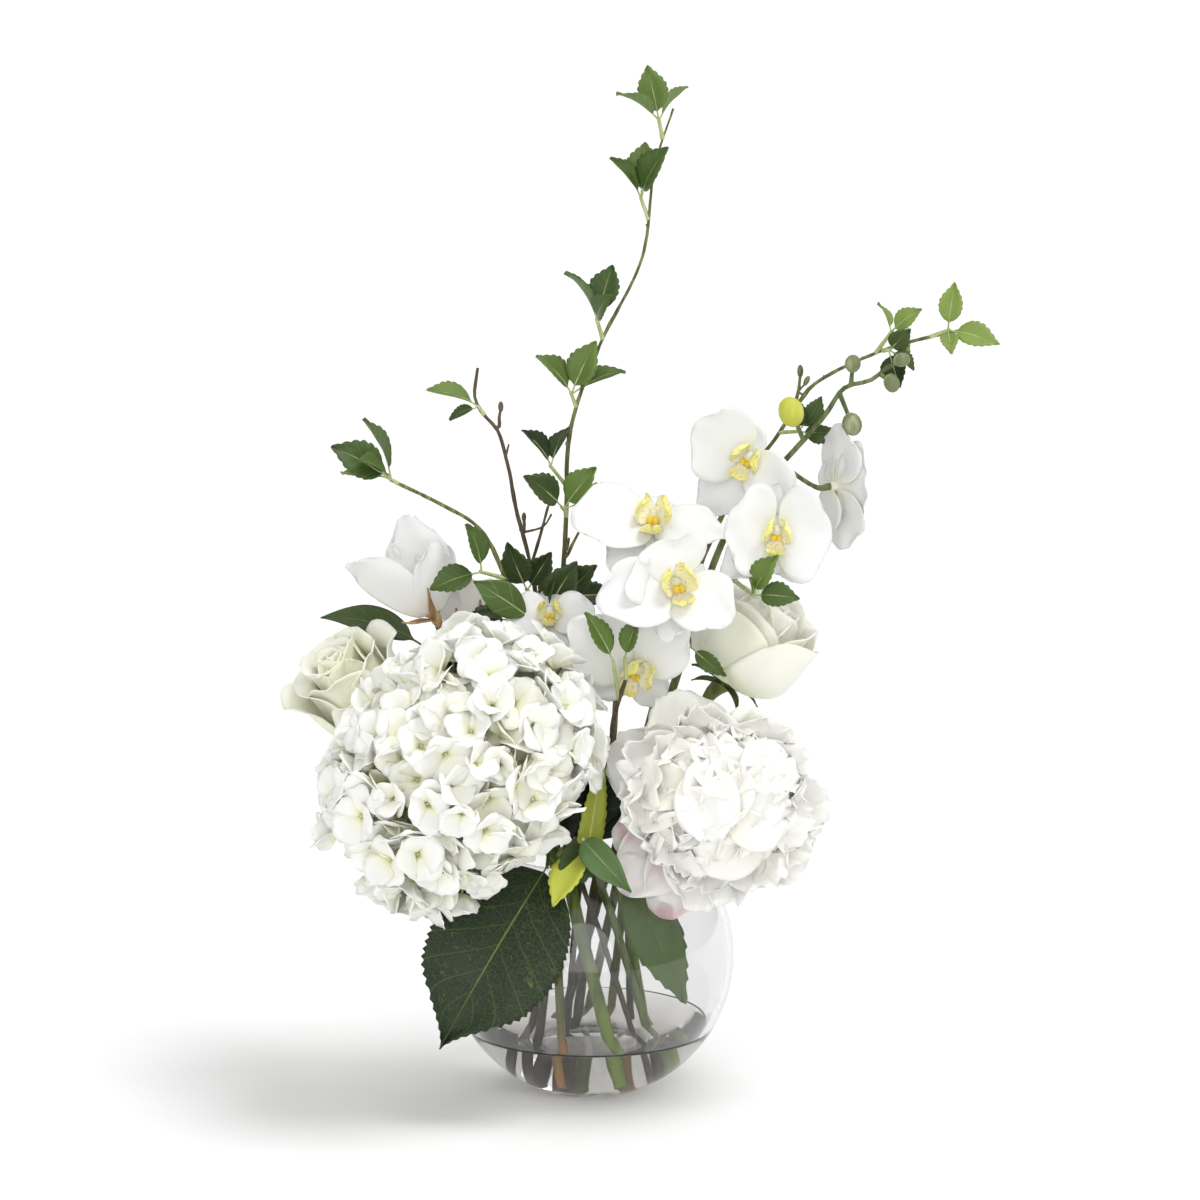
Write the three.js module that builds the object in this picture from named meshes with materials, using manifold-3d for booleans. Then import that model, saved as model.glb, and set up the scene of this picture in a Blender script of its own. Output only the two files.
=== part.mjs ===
// A floral table centerpiece: white hydrangea, peony, roses, moth orchids and magnolias with
// leafy branches, standing in a round glass bowl with a little water.
// Millimetres, +Z up, origin at the middle of the bowl's flat foot; the front faces -Y.
import * as THREE from "three";
import { mergeVertices } from "three/addons/utils/BufferGeometryUtils.js";
import Module from "manifold-3d";

const wasm = await Module();
wasm.setup();

// ---- Driving dimensions ----

const gap = 0.3; // clearance between pieces that touch
const bowl = { radius: 90, wall: 4, floor: 7, footRadius: 36, rimHeight: 150, segments: 22 };
const waterLevel = 38;
// The stems cross like the rulings of a waisted basket: each turns by twist from bind to foot.
const bunch = { bindHeight: 142, bindRing: 23.5, footRing: 43, footHeight: 12.5, twist: 70 };
const innerShare = 0.4; // a stem in the middle of the bunch keeps this share of both rings
const hydrangea = {
  centre: [-76, -76, 218],
  halfAxes: [90, 76, 70], // along the long diagonal, across it, and front to back
  diagonal: [0.6, 0, 0.8],
  stemSide: [0.44, 0.42, -0.79],
  bareCone: 0.7, // no florets where a direction is this close to the stem side
  coreShare: 0.66,
  florets: 50,
  floretRadius: 22.5,
};
const peony = { base: [72, -42, 188], axis: [0.25, -0.93, 0.25], coreRadius: 17 };
const roseLeft = { base: [-139, 27, 238], axis: [-0.55, -0.6, 0.58], seed: 4 };
const roseRight = { base: [86, 10, 258], axis: [0.62, -0.45, 0.64], seed: 9 };
const magnoliaFront = {
  base: [-98, 14, 297], axis: [-0.43, -0.25, 0.86],
  length: 66, petals: 6, spread: 34, columns: 5, seed: 3,
};
const magnoliaBehind = {
  base: [-70, 32, 278], axis: [0.05, -0.08, 0.99],
  length: 42, petals: 5, spread: 24, columns: 3, seed: 8,
};
const orchids = {
  orchid_top: { centre: [98, -6, 396], facing: [-0.3, -0.95, 0.05], roll: -28, size: 0.8 },
  orchid_right: { centre: [113, -36, 346], facing: [0.1, -0.98, 0.12], roll: -6, size: 0.78 },
  orchid_left: { centre: [38, -24, 359], facing: [0.05, -0.74, 0.67], roll: -8, size: 1 },
  orchid_middle: { centre: [52, -60, 324], facing: [0.1, -0.84, 0.5], roll: 14, size: 0.96 },
  orchid_side: { centre: [150, 2, 378], facing: [0.93, 0.3, 0.05], roll: 0, size: 0.82 },
  orchid_low: { centre: [27, -36, 270], facing: [0.2, -0.95, -0.1], roll: -30, size: 0.86 },
  orchid_hidden: { centre: [-24, -10, 297], facing: [-0.1, -0.68, 0.72], roll: 5, size: 0.74 },
};
const orchidBack = 3; // from a bloom's centre back to its flat base
const tipRadius = 1.3; // of a leafy branch at its end
const stub = { radius: 1.3, tipRadius: 1, overlap: 1.5 }; // what a cluster of leaves springs from
const swelling = { length: 10, overlap: 1 }; // under a bloom, and how far the stem runs into it
const pedicelShape = { radius: 1.6, overlap: 5, cup: 2.6, length: 8 };
const twigRadii = [1.4, 0.9];

// Each stem's angle in the bunch, its radius, and its way on above the bind.
const stems = {
  hydrangea: { angle: 225, radius: 4, top: [[-28, -28, 160]] },
  roseLeft: { angle: 178, radius: 2.8, top: [[-48, 20, 172], [-96, 40, 206], [-124, 38, 224]] },
  magnolia: { angle: 148, radius: 3.2, top: [[-40, 36, 180], [-64, 44, 220], [-82, 38, 250]] },
  leftBranch: {
    angle: 122, radius: 3,
    top: [[-24, 28, 185], [-38, 16, 240], [-44, 8, 275], [-52, 2, 319], [-68, -2, 352],
      [-92, -6, 368], [-122, -8, 383]],
  },
  twig: {
    angle: 130, share: innerShare, radius: 2.6,
    top: [[-14, 14, 185], [-30, 26, 240], [-38, 24, 304], [-42, 20, 329], [-54, 18, 404],
      [-66, 18, 425], [-70, 18, 450]],
  },
  tallBranch: {
    angle: 60, share: innerShare, radius: 3.6,
    top: [[0, 16, 190], [-13, 26, 240], [-17, 28, 303], [-15, 30, 353], [-12, 29, 410],
      [6, 28, 462], [32, 28, 516], [40, 28, 573], [51, 28, 607]],
  },
  rightTop: {
    angle: 52, radius: 3.4,
    top: [[28, 34, 190], [42, 42, 240], [66, 42, 314], [90, 40, 368], [115, 34, 403],
      [130, 30, 427], [139, 28, 438], [182, 22, 460], [241, 12, 476]],
  },
  orchidRight: {
    angle: 28, radius: 3,
    top: [[34, 20, 190], [50, 22, 242], [62, 20, 280], [79, 18, 333], [92, 16, 368],
      [127, 12, 417], [138, 10, 436], [159, 6, 450], [181, 4, 456]],
  },
  frontTwig: {
    angle: 254, radius: 2,
    top: [[2, -32, 182], [11, -42, 215], [15, -54, 246], [22, -62, 270]],
  },
  roseRight: { angle: 5, radius: 2.8, top: [[42, 8, 190], [64, 16, 226], [76, 16, 246]] },
  rightLow: {
    angle: -18, radius: 2.7,
    top: [[28, -8, 185], [38, -10, 225], [46, -14, 258], [54, -20, 284], [70, -18, 309], [94, -12, 326]],
  },
  peony: { angle: -42, radius: 3, top: [[32, -18, 162], [54, -28, 178]] },
  orchidLeft: {
    angle: 282, radius: 2.6,
    top: [[8, -22, 180], [14, -16, 220], [18, -10, 268], [26, -6, 310], [32, -4, 340]],
  },
};

// Colours of the plain model.
const tint = {
  glass: 0xf2f6f6, petal: 0xf4f3ee, creamPetal: 0xeef0dc, lip: 0xf0dc4a, leaf: 0x5f9440,
  darkLeaf: 0x2f4a2b, orchidStem: 0x3d5a2c, bark: 0x5a4a35,
};

// ---- Small tools ----

const vec = (p) => new THREE.Vector3(...p);
const degrees = THREE.MathUtils.degToRad;

// A repeatable random number from 0 to 1.
function seeded(seed) {
  let state = seed;
  return () => {
    state = (Math.imul(state, 1664525) + 1013904223) >>> 0;
    return state / 4294967296;
  };
}

// A closed list of points and triangles as a solid that faces outwards.
function solidOf(points, triangles) {
  const make = (list) => {
    const vertProperties = new Float32Array(points.flatMap((p) => [p.x, p.y, p.z]));
    const triVerts = new Uint32Array(list.flat());
    return new wasm.Manifold(new wasm.Mesh({ numProp: 3, vertProperties, triVerts }));
  };
  const solid = make(triangles);
  return solid.volume() > 0 ? solid : make(triangles.map(([a, b, c]) => [a, c, b]));
}

function solidOfGeometry(geometry) {
  const bare = geometry.clone();
  bare.deleteAttribute("normal");
  bare.deleteAttribute("uv");
  const { index, attributes } = mergeVertices(bare, 1e-4);
  const points = [];
  for (let i = 0; i < attributes.position.count; i++) {
    points.push(new THREE.Vector3().fromBufferAttribute(attributes.position, i));
  }
  const triangles = [];
  for (let i = 0; i < index.count; i += 3) {
    const [a, b, c] = index.array.slice(i, i + 3);
    if (a !== b && b !== c && a !== c) triangles.push([a, b, c]);
  }
  return solidOf(points, triangles);
}

// Joins solids and keeps the one body that holds together, with any sealed hollow filled.
function fuse(solids) {
  const bodies = wasm.Manifold.union(solids).decompose();
  return bodies.reduce((best, body) => (body.volume() > best.volume() ? body : best));
}

function geometryOf(solid) {
  const { vertProperties, triVerts, numProp } = solid.getMesh();
  const position = [];
  for (let i = 0; i < vertProperties.length; i += numProp) {
    position.push(...vertProperties.slice(i, i + 3));
  }
  const geometry = new THREE.BufferGeometry();
  geometry.setAttribute("position", new THREE.Float32BufferAttribute(position, 3));
  geometry.setIndex([...triVerts]);
  geometry.computeVertexNormals();
  return geometry;
}

// Local +Z along growth and +Y towards face, placed at origin.
function frameAt(origin, growth, face) {
  const z = growth.clone().normalize();
  const y = face.clone().addScaledVector(z, -face.dot(z)).normalize();
  const x = new THREE.Vector3().crossVectors(y, z);
  return new THREE.Matrix4().makeBasis(x, y, z).setPosition(origin);
}

// The value at share t of a list of evenly spread values.
function spreadValue(values, t) {
  const place = t * (values.length - 1);
  const k = Math.min(Math.floor(place), values.length - 2);
  return THREE.MathUtils.lerp(values[k], values[k + 1], place - k);
}

// ---- Stems, cones and buds ----

// A smooth curve through a route, with the number of straight steps that its tube has.
function lineOf(route, stepLength = 34) {
  const curve = new THREE.CatmullRomCurve3(route.map(vec), false, "centripetal");
  const steps = Math.max(2, Math.round(curve.getLength() / stepLength));
  return { curve, steps, centres: curve.getSpacedPoints(steps) };
}

// A tube along a smooth curve, tapered afterwards about its own line.
function stalk(route, radii, stepLength) {
  const { curve, steps, centres } = lineOf(route, stepLength);
  const corners = [0, 1, 2, 3, 4].map((k) => (2 * Math.PI * k) / 5);
  const section = new THREE.Shape(
    corners.map((a) => new THREE.Vector2(radii[0] * Math.cos(a), radii[0] * Math.sin(a))),
  );
  const tube = new THREE.ExtrudeGeometry(section, { steps, extrudePath: curve, bevelEnabled: false });
  const position = tube.attributes.position;
  for (let i = 0; i < position.count; i++) {
    const point = new THREE.Vector3().fromBufferAttribute(position, i);
    const distances = centres.map((centre) => centre.distanceTo(point));
    const k = distances.indexOf(Math.min(...distances));
    const scale = spreadValue(radii, k / steps) / radii[0];
    point.sub(centres[k]).multiplyScalar(scale).add(centres[k]);
    position.setXYZ(i, point.x, point.y, point.z);
  }
  return solidOfGeometry(tube);
}

// A straight frustum with flat ends square to its own line.
function cone(from, to, startRadius, endRadius, sides = 8) {
  const line = to.clone().sub(from);
  const shape = new THREE.CylinderGeometry(endRadius, startRadius, line.length(), sides);
  shape.rotateX(Math.PI / 2).translate(0, 0, line.length() / 2);
  const side = Math.abs(line.z) > 0.9 * line.length() ? [1, 0, 0] : [0, 0, 1];
  return solidOfGeometry(shape.applyMatrix4(frameAt(from, line, vec(side))));
}

// An egg-shaped bud with its long axis along axis.
function bud(centre, axis, halfLength, radius) {
  const shape = new THREE.SphereGeometry(1, 6, 4).rotateX(Math.PI / 2);
  shape.scale(radius, radius, halfLength);
  return solidOfGeometry(shape.applyMatrix4(frameAt(vec(centre), vec(axis), vec([0.3, 0.9, 0.2]))));
}

// ---- Blades: petals and leaves ----

// The middle surface of a blade at s from -1 to 1 across and t from 0 to 1 along.
// It grows along +Z, faces +Y, and tilts away from its face by tilt[0] at the root to tilt[1].
function bladePoint(blade, s, t) {
  const { length, width, tilt, rise = 1, blunt = 1, bend = 1, open = 1, teeth } = blade;
  const { arc = 0, fold = 0, ruffle = 0, waves = 3, phase = 0, stalkShare = 0 } = blade;
  const angleAt = (u) => tilt[0] + (tilt[1] - tilt[0]) * u ** bend;
  const pieces = 12;
  const leastHalfWidth = 0.6;
  let y = 0;
  let z = 0;
  for (let i = 0; i < pieces; i++) {
    const angle = angleAt((t * (i + 0.5)) / pieces);
    y -= (Math.sin(angle) * length * t) / pieces;
    z += (Math.cos(angle) * length * t) / pieces;
  }
  const grown = THREE.MathUtils.clamp((t - stalkShare) / (1 - stalkShare), 0, 1);
  const fullness = Math.max(0, Math.sin(Math.PI * grown ** rise * open)) ** blunt;
  const half = Math.max((width / 2) * fullness * (teeth ? teeth(grown) : 1), leastHalfWidth);
  let x = s * half;
  let lift = fold * Math.abs(x);
  if (arc) {
    lift += (1 - Math.cos(x * arc)) / arc;
    x = Math.sin(x * arc) / arc;
  }
  lift += ruffle * t * t * Math.sin(waves * s * Math.PI + phase) * Math.sqrt(Math.abs(s));
  const angle = angleAt(t);
  return new THREE.Vector3(x, y + Math.cos(angle) * lift, z + Math.sin(angle) * lift);
}

// A closed blade: full thickness inside, drawn out to a fine edge, both faces split alike.
function bladeSolid(blade, rows, columns, matrix) {
  const { thickness = 1.1, open } = blade;
  const points = [];
  const place = (point) => points.push(point.applyMatrix4(matrix)) - 1;
  const upper = [];
  const lower = [];
  rows.forEach((t, i) => {
    const isTip = i === rows.length - 1;
    if (i === 0 || (isTip && !open)) {
      const k = place(bladePoint(blade, 0, t));
      upper.push(Array(columns).fill(k));
      lower.push(Array(columns).fill(k));
      return;
    }
    upper.push([]);
    lower.push([]);
    for (let j = 0; j < columns; j++) {
      const s = -1 + (2 * j) / (columns - 1);
      const middle = bladePoint(blade, s, t);
      if (isTip || j === 0 || j === columns - 1) {
        const k = place(middle);
        upper[i].push(k);
        lower[i].push(k);
        continue;
      }
      const step = 0.02;
      const across = bladePoint(blade, s + step, t).sub(bladePoint(blade, s - step, t));
      const along = bladePoint(blade, s, t + step).sub(bladePoint(blade, s, t - step));
      const offset = across.cross(along).setLength(thickness / 2);
      upper[i].push(place(middle.clone().add(offset)));
      lower[i].push(place(middle.clone().sub(offset)));
    }
  });
  const triangles = [];
  for (const face of [upper, lower]) {
    for (let i = 0; i < rows.length - 1; i++) {
      for (let j = 0; j < columns - 1; j++) {
        const [a, b, c, d] = [face[i][j], face[i][j + 1], face[i + 1][j], face[i + 1][j + 1]];
        const pair = j < (columns - 1) / 2 ? [[a, b, d], [a, d, c]] : [[a, b, c], [b, d, c]];
        for (const [p, q, r] of pair) {
          if (p === q || q === r || p === r) continue;
          triangles.push(face === upper ? [p, q, r] : [p, r, q]);
        }
      }
    }
  }
  return solidOf(points, triangles);
}

// A leaf from its root on a twig to its tip; count is the number of rows, with teeth between.
function leaf(root, tip, options = {}) {
  const { share = 0.5, arch = 0.35, fold = 0.35, face = [-0.1, -0.85, 0.5], arc = 0 } = options;
  const { count = 4, stalkShare = 0.14, columns = 3, cut = 0.2, rise = 0.8 } = options;
  const [from, to] = [vec(root), vec(tip)];
  const chord = from.distanceTo(to);
  const rows = [0];
  for (let i = 1; i <= count; i++) rows.push(stalkShare + ((1 - stalkShare) * i) / count);
  const blade = {
    length: (chord * arch) / Math.sin(arch),
    width: chord * share,
    tilt: [-arch, arch],
    rise, fold, arc, stalkShare,
    blunt: 0.85,
    thickness: 1.2,
    teeth: (grown) => (Math.round(grown * count) % 2 ? 1 : 1 - cut),
  };
  return bladeSolid(blade, rows, columns, frameAt(from, to.sub(from), vec(face)));
}

// Leaves that spring from the end of a short stub on a stem.
function leafCluster(plan, { foot, at, tips, ...options }) {
  const [seat, end] = [onStem(plan, foot), vec(at)];
  const start = end.clone().add(seat.clone().sub(end).setLength(stub.overlap)).toArray();
  return [
    cone(seat, end, stub.radius, stub.tipRadius, 4),
    ...tips.map((tip) => leaf(start, tip, options)),
  ];
}

// ---- Glass bowl and water ----

const bowlCentre = Math.sqrt(bowl.radius ** 2 - bowl.footRadius ** 2);

// Points on a ball of this radius round the bowl's centre, between two heights.
function ballProfile(radius, low, high, count) {
  const [start, end] = [low, high].map((z) => Math.asin((z - bowlCentre) / radius));
  return Array.from({ length: count + 1 }, (_, i) => {
    const angle = start + ((end - start) * i) / count;
    return new THREE.Vector2(radius * Math.cos(angle), bowlCentre + radius * Math.sin(angle));
  });
}

function turned(profile) {
  const geometry = new THREE.LatheGeometry(profile, bowl.segments);
  return solidOfGeometry(geometry.rotateX(Math.PI / 2));
}

function glassBowl() {
  const inside = bowl.radius - bowl.wall;
  return turned([
    new THREE.Vector2(0, 0),
    ...ballProfile(bowl.radius, 0, bowl.rimHeight, 6),
    ...ballProfile(inside, waterLevel, bowl.rimHeight, 3).reverse(),
    ...ballProfile(inside, bowl.floor, waterLevel, 2).reverse().slice(1),
    new THREE.Vector2(0, bowl.floor),
  ]);
}

// The water fills the foot of the bowl and has a plain hole for each stem.
function waterBody() {
  const side = ballProfile(bowl.radius - bowl.wall, bowl.floor, waterLevel, 2);
  side.forEach((point) => (point.x -= 2 * gap));
  side[0].y += gap;
  const body = turned([
    new THREE.Vector2(0, bowl.floor + gap),
    ...side,
    new THREE.Vector2(0, waterLevel),
  ]);
  const holes = Object.values(stems).map(stemHole);
  return fuse([body.subtract(wasm.Manifold.union(holes))]);
}

// ---- The bunch of stems ----

// The way of a stem from the bowl's floor up to the bind, straight on its own ruling.
function bunchRoute({ angle, share = 1 }) {
  const ringPoint = (ring, turn, z) => {
    const a = degrees(angle + turn);
    return new THREE.Vector3(share * ring * Math.cos(a), share * ring * Math.sin(a), z);
  };
  const foot = ringPoint(bunch.footRing, bunch.twist, bunch.footHeight);
  const bind = ringPoint(bunch.bindRing, 0, bunch.bindHeight);
  return [0, 0.35, 0.7, 1].map((u) => foot.clone().lerp(bind, u).toArray());
}

const stemRoute = (plan) => [...bunchRoute(plan), ...plan.top];

function stem(plan, endRadius = plan.radius) {
  return stalk(stemRoute(plan), [plan.radius, plan.radius, endRadius]);
}

// The point on a stem's own line that is nearest to a wanted one.
function onStem(plan, wanted) {
  const { centres } = lineOf(stemRoute(plan));
  const feet = centres.slice(1).map((end, i) =>
    new THREE.Line3(centres[i], end).closestPointToPoint(vec(wanted), true, new THREE.Vector3()),
  );
  const distances = feet.map((foot) => foot.distanceTo(vec(wanted)));
  return feet[distances.indexOf(Math.min(...distances))];
}

// The hole that a stem stands in, a little wider than the stem.
function stemHole(plan) {
  const [foot, next] = bunchRoute(plan).map(vec);
  const radius = plan.radius + 3 * gap;
  return cone(foot.clone().lerp(next, -0.25), foot.clone().lerp(next, 0.95), radius, radius, 5);
}

// The swelling under a bloom, with a flat top one gap short of the bloom's own base.
function receptacle(base, axis, stemRadius, topRadius) {
  const top = base.clone().addScaledVector(axis, -gap);
  return cone(top.clone().addScaledVector(axis, -swelling.length), top, stemRadius, topRadius);
}

// Where the stem proper ends, a little way into the swelling.
const stemTop = (base, axis) => base.clone().addScaledVector(axis, swelling.overlap - swelling.length);

// ---- Blooms ----

// A petal turned by angle about the bloom's axis, its root sunk in the core.
function bloomPetal(base, axis, angle, petal, rows, columns, up = vec([0.05, 0.1, 1])) {
  const radial = up.clone().addScaledVector(axis, -up.dot(axis)).normalize();
  radial.applyAxisAngle(axis, angle);
  const root = base
    .clone()
    .addScaledVector(axis, petal.height ?? 2)
    .addScaledVector(radial, petal.offset ?? 1);
  return bladeSolid(petal, rows, columns, frameAt(root, axis, radial.negate()));
}

// Rings of petals; each ring gives its count and turn, and the petal with its rows.
function ringsOfPetals(base, axis, rings, random) {
  return rings.flatMap(({ count, turn, spread = 0.15, rows, columns = 5, petal }) =>
    Array.from({ length: count }, (_, i) => {
      const angle = turn + (2 * Math.PI * (i + spread * (random() - 0.5))) / count;
      const length = petal.length * (1 + 0.12 * (random() - 0.5));
      return bloomPetal(base, axis, angle, { ...petal, length, phase: 6 * random() }, rows, columns);
    }),
  );
}

// The hydrangea's own axes: its long diagonal, across it, and front to back.
const headAxes = (() => {
  const long = vec(hydrangea.diagonal).normalize();
  const deep = vec([0, 1, 0]);
  return new THREE.Matrix4().makeBasis(long, new THREE.Vector3().crossVectors(deep, long), deep);
})();

// The point and outward normal of the hydrangea's ellipsoid for a direction in its own axes.
function headPoint(direction, share) {
  const half = vec(hydrangea.halfAxes);
  const point = direction.clone().multiply(half).multiplyScalar(share);
  return {
    point: point.applyMatrix4(headAxes).add(vec(hydrangea.centre)),
    normal: direction.clone().divide(half).normalize().applyMatrix4(headAxes),
  };
}

// Four rounded sepals in one cupped sheet, drawn down to a stalk that roots in the core.
function floret(point, normal, spin, radius) {
  const sepals = 4;
  const edge = [[-1, 0.42, -0.1], [-0.5, 0.96, 0.08], [0.5, 0.96, 0.08]];
  const [neckRadius, neckDrop] = [2.2, 1.8];
  const heart = -0.14 * radius;
  const rootDepth = hydrangea.halfAxes[0] / 2;
  const rim = edge.length;
  const points = [new THREE.Vector3(0, 0, heart)];
  for (let q = 0; q < sepals; q++) {
    for (const [turn, reach, lift] of edge) {
      const a = (Math.PI / sepals) * (2 * q + turn);
      const point = new THREE.Vector3(reach * Math.cos(a), reach * Math.sin(a), lift);
      points.push(point.multiplyScalar(radius));
    }
  }
  const neck = points.length;
  for (let q = 0; q < sepals; q++) {
    const a = (2 * Math.PI * q) / sepals;
    const [x, y] = [neckRadius * Math.cos(a), neckRadius * Math.sin(a)];
    points.push(new THREE.Vector3(x, y, heart - neckDrop));
  }
  const foot = points.push(new THREE.Vector3(0, 0, -rootDepth)) - 1;
  const triangles = [];
  for (let i = 0; i < sepals * rim; i++) {
    const [a, b] = [1 + i, 1 + ((i + 1) % (sepals * rim))];
    const under = neck + Math.floor(i / rim);
    triangles.push([0, a, b], [b, a, under]);
    if (i % rim === rim - 1) triangles.push([b, under, neck + ((Math.floor(i / rim) + 1) % sepals)]);
  }
  for (let q = 0; q < sepals; q++) triangles.push([neck + q, foot, neck + ((q + 1) % sepals)]);
  const matrix = frameAt(point, normal, vec([0.3, 0.5, 0.7]));
  matrix.multiply(new THREE.Matrix4().makeRotationZ(spin));
  return solidOf(points.map((p) => p.applyMatrix4(matrix)), triangles);
}

function hydrangeaHead() {
  const random = seeded(11);
  const golden = Math.PI * (3 - Math.sqrt(5));
  const stemSide = vec(hydrangea.stemSide).normalize();
  const core = new THREE.SphereGeometry(1, 10, 8);
  core.scale(...hydrangea.halfAxes.map((half) => half * hydrangea.coreShare));
  core.applyMatrix4(headAxes).translate(...hydrangea.centre);
  const solids = [solidOfGeometry(core)];
  for (let i = 0; i < hydrangea.florets; i++) {
    const z = 1 - (2 * (i + 0.5)) / hydrangea.florets;
    const r = Math.sqrt(1 - z * z);
    const direction = new THREE.Vector3(r * Math.cos(i * golden), r * Math.sin(i * golden), z);
    const { point, normal } = headPoint(direction, 0.97 + 0.06 * random());
    const spin = random() * Math.PI;
    const radius = hydrangea.floretRadius * (0.94 + 0.12 * random());
    const bearing = point.clone().sub(vec(hydrangea.centre)).normalize();
    if (bearing.dot(stemSide) < hydrangea.bareCone) solids.push(floret(point, normal, spin, radius));
  }
  return fuse(solids);
}

// Peony: wide guard petals, then rings of ruffled petals that close towards the axis.
function peonyBloom() {
  const [base, axis] = [vec(peony.base), vec(peony.axis).normalize()];
  const top = base.clone().addScaledVector(axis, peony.coreRadius);
  const petal = (length, width, from, to, ruffle, arc) => ({
    length, width, ruffle, arc, tilt: [degrees(from), degrees(to)],
    rise: 0.9, blunt: 0.6, open: 0.78, waves: 2, height: 5, offset: 3,
  });
  const rows = [0, 0.45, 1];
  const rings = [
    { count: 7, turn: 0.2, rows, petal: petal(62, 50, 70, 86, 3, 0.012) },
    { count: 5, turn: 0.65, rows, petal: petal(64, 50, 52, 60, 4, 0.016) },
    { count: 4, turn: 0.1, rows, petal: petal(64, 48, 34, 38, 4, 0.02) },
    { count: 3, turn: 0.5, rows, petal: petal(64, 42, 19, 20, 4, 0.026) },
    { count: 2, turn: 0.2, rows, petal: petal(62, 28, 6, 6, 3, 0.04) },
  ];
  const core = cone(base, top, peony.coreRadius * 0.6, peony.coreRadius);
  return fuse([core, ...ringsOfPetals(base, axis, rings, seeded(5))]);
}

// Rose: a tight bud wrapped by petals that open and roll back further out.
function roseBloom(rose) {
  const [base, axis] = [vec(rose.base), vec(rose.axis).normalize()];
  const petal = (length, width, from, to, arc) => ({
    length, width, arc, tilt: [degrees(from), degrees(to)],
    bend: 3, rise: 0.7, blunt: 0.5, open: 0.86, ruffle: 0.8, waves: 1, height: 1, offset: 3,
  });
  const rows = [0, 0.6, 1];
  const rings = [
    { count: 3, turn: 0, rows, columns: 3, petal: petal(56, 24, 5, -4, 0.08) },
    { count: 3, turn: 1, rows, columns: 3, petal: petal(54, 36, 17, 12, 0.055) },
    { count: 4, turn: 0.2, rows, columns: 3, petal: petal(52, 40, 33, 40, 0.04) },
    { count: 5, turn: 0.85, rows, petal: petal(50, 44, 52, 84, 0.03) },
  ];
  const core = cone(base, base.clone().addScaledVector(axis, 14), 8, 9);
  return fuse([core, ...ringsOfPetals(base, axis, rings, seeded(rose.seed))]);
}

// Magnolia: a goblet of long petals.
function magnoliaBloom({ base, axis, length, petals, spread, columns, seed }) {
  const [from, direction] = [vec(base), vec(axis).normalize()];
  const rows = [0, 0.35, 0.75, 1];
  const petal = (size, width, low, high) => ({
    length: size, width, tilt: [degrees(low), degrees(high)], arc: 0.03,
    rise: 1.15, blunt: 0.7, ruffle: 1.2, waves: 1, height: 2, offset: 1,
  });
  const rings = [
    { count: 3, turn: 0.4, rows, columns: 3, petal: petal(length * 0.92, length * 0.38, 12, 2) },
    { count: petals - 3, turn: 1.2, rows, columns, petal: petal(length, length * 0.52, 28, spread) },
  ];
  const core = cone(from, from.clone().addScaledVector(direction, 12), 5, 4);
  return fuse([core, ...ringsOfPetals(from, direction, rings, seeded(seed))]);
}

function orchidAxes({ facing, roll }) {
  const axis = vec(facing).normalize();
  const up = vec([0, 0, 1]).addScaledVector(axis, -axis.z).normalize();
  return { axis, up: up.applyAxisAngle(axis, degrees(roll)) };
}

// Moth orchid: two broad petals over three narrower sepals, lying nearly flat.
function orchidBloom(plan) {
  const { axis, up } = orchidAxes(plan);
  const base = vec(plan.centre).addScaledVector(axis, -orchidBack);
  const broad = {
    length: 44 * plan.size, width: 46 * plan.size, tilt: [degrees(62), degrees(92)], arc: 0.01,
    rise: 0.95, blunt: 0.55, height: 3.4, offset: 1,
  };
  const narrow = {
    length: 42 * plan.size, width: 27 * plan.size, tilt: [degrees(84), degrees(96)], arc: 0.012,
    rise: 0.8, blunt: 0.6, open: 0.84, height: 1, offset: 1,
  };
  const place = (angle, petal, rows) => bloomPetal(base, axis, degrees(angle), petal, rows, 3, up);
  return fuse([
    cone(base, vec(plan.centre).addScaledVector(axis, 2), 3.2, 4.5),
    ...[88, -88].map((angle) => place(angle, broad, [0, 0.3, 0.75, 1])),
    ...[0, 142, -142].map((angle) => place(angle, narrow, [0, 0.5, 1])),
  ]);
}

// The orchid's lip and column: two raised side lobes with a tongue below.
function orchidLip(plan) {
  const { axis, up } = orchidAxes(plan);
  const base = vec(plan.centre).addScaledVector(axis, 2 + gap);
  const shape = { arc: 0.06, rise: 0.9, blunt: 0.6, height: 1.5, offset: 0.8 };
  const lobe = { ...shape, length: 15 * plan.size, width: 12 * plan.size, tilt: [0.7, -0.3] };
  const tongue = { ...shape, length: 17 * plan.size, width: 9 * plan.size, tilt: [0.9, 0.1] };
  const place = (angle, petal) => bloomPetal(base, axis, degrees(angle), petal, [0, 0.55, 1], 3, up);
  return fuse([
    cone(base, base.clone().addScaledVector(axis, 6), 3.4, 2.6, 6),
    place(80, lobe),
    place(-80, lobe),
    place(180, tongue),
  ]);
}

// ---- Stems with what grows on them ----

// Sepals round the top of a stem, bent clear of the bloom above.
function sepals(base, axis, count, length, width, tilt) {
  const sepal = {
    length, width, tilt: tilt.map(degrees), rise: 0.6, blunt: 0.9, arc: 0.03, height: -4, offset: 3,
  };
  return Array.from({ length: count }, (_, i) =>
    bloomPetal(base, axis, (2 * Math.PI * i) / count, sepal, [0, 0.5, 1], 3),
  );
}

// A stem's plan with its way carried on to a last point.
const upTo = (plan, point) => ({ ...plan, top: [...plan.top, point.toArray()] });

function roseStem(plan, rose) {
  const [base, axis] = [vec(rose.base), vec(rose.axis).normalize()];
  return fuse([
    stem(upTo(plan, stemTop(base, axis))),
    receptacle(base, axis, plan.radius, 6.5),
    ...sepals(base, axis, 5, 26, 9, [100, 140]),
  ]);
}

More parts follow.
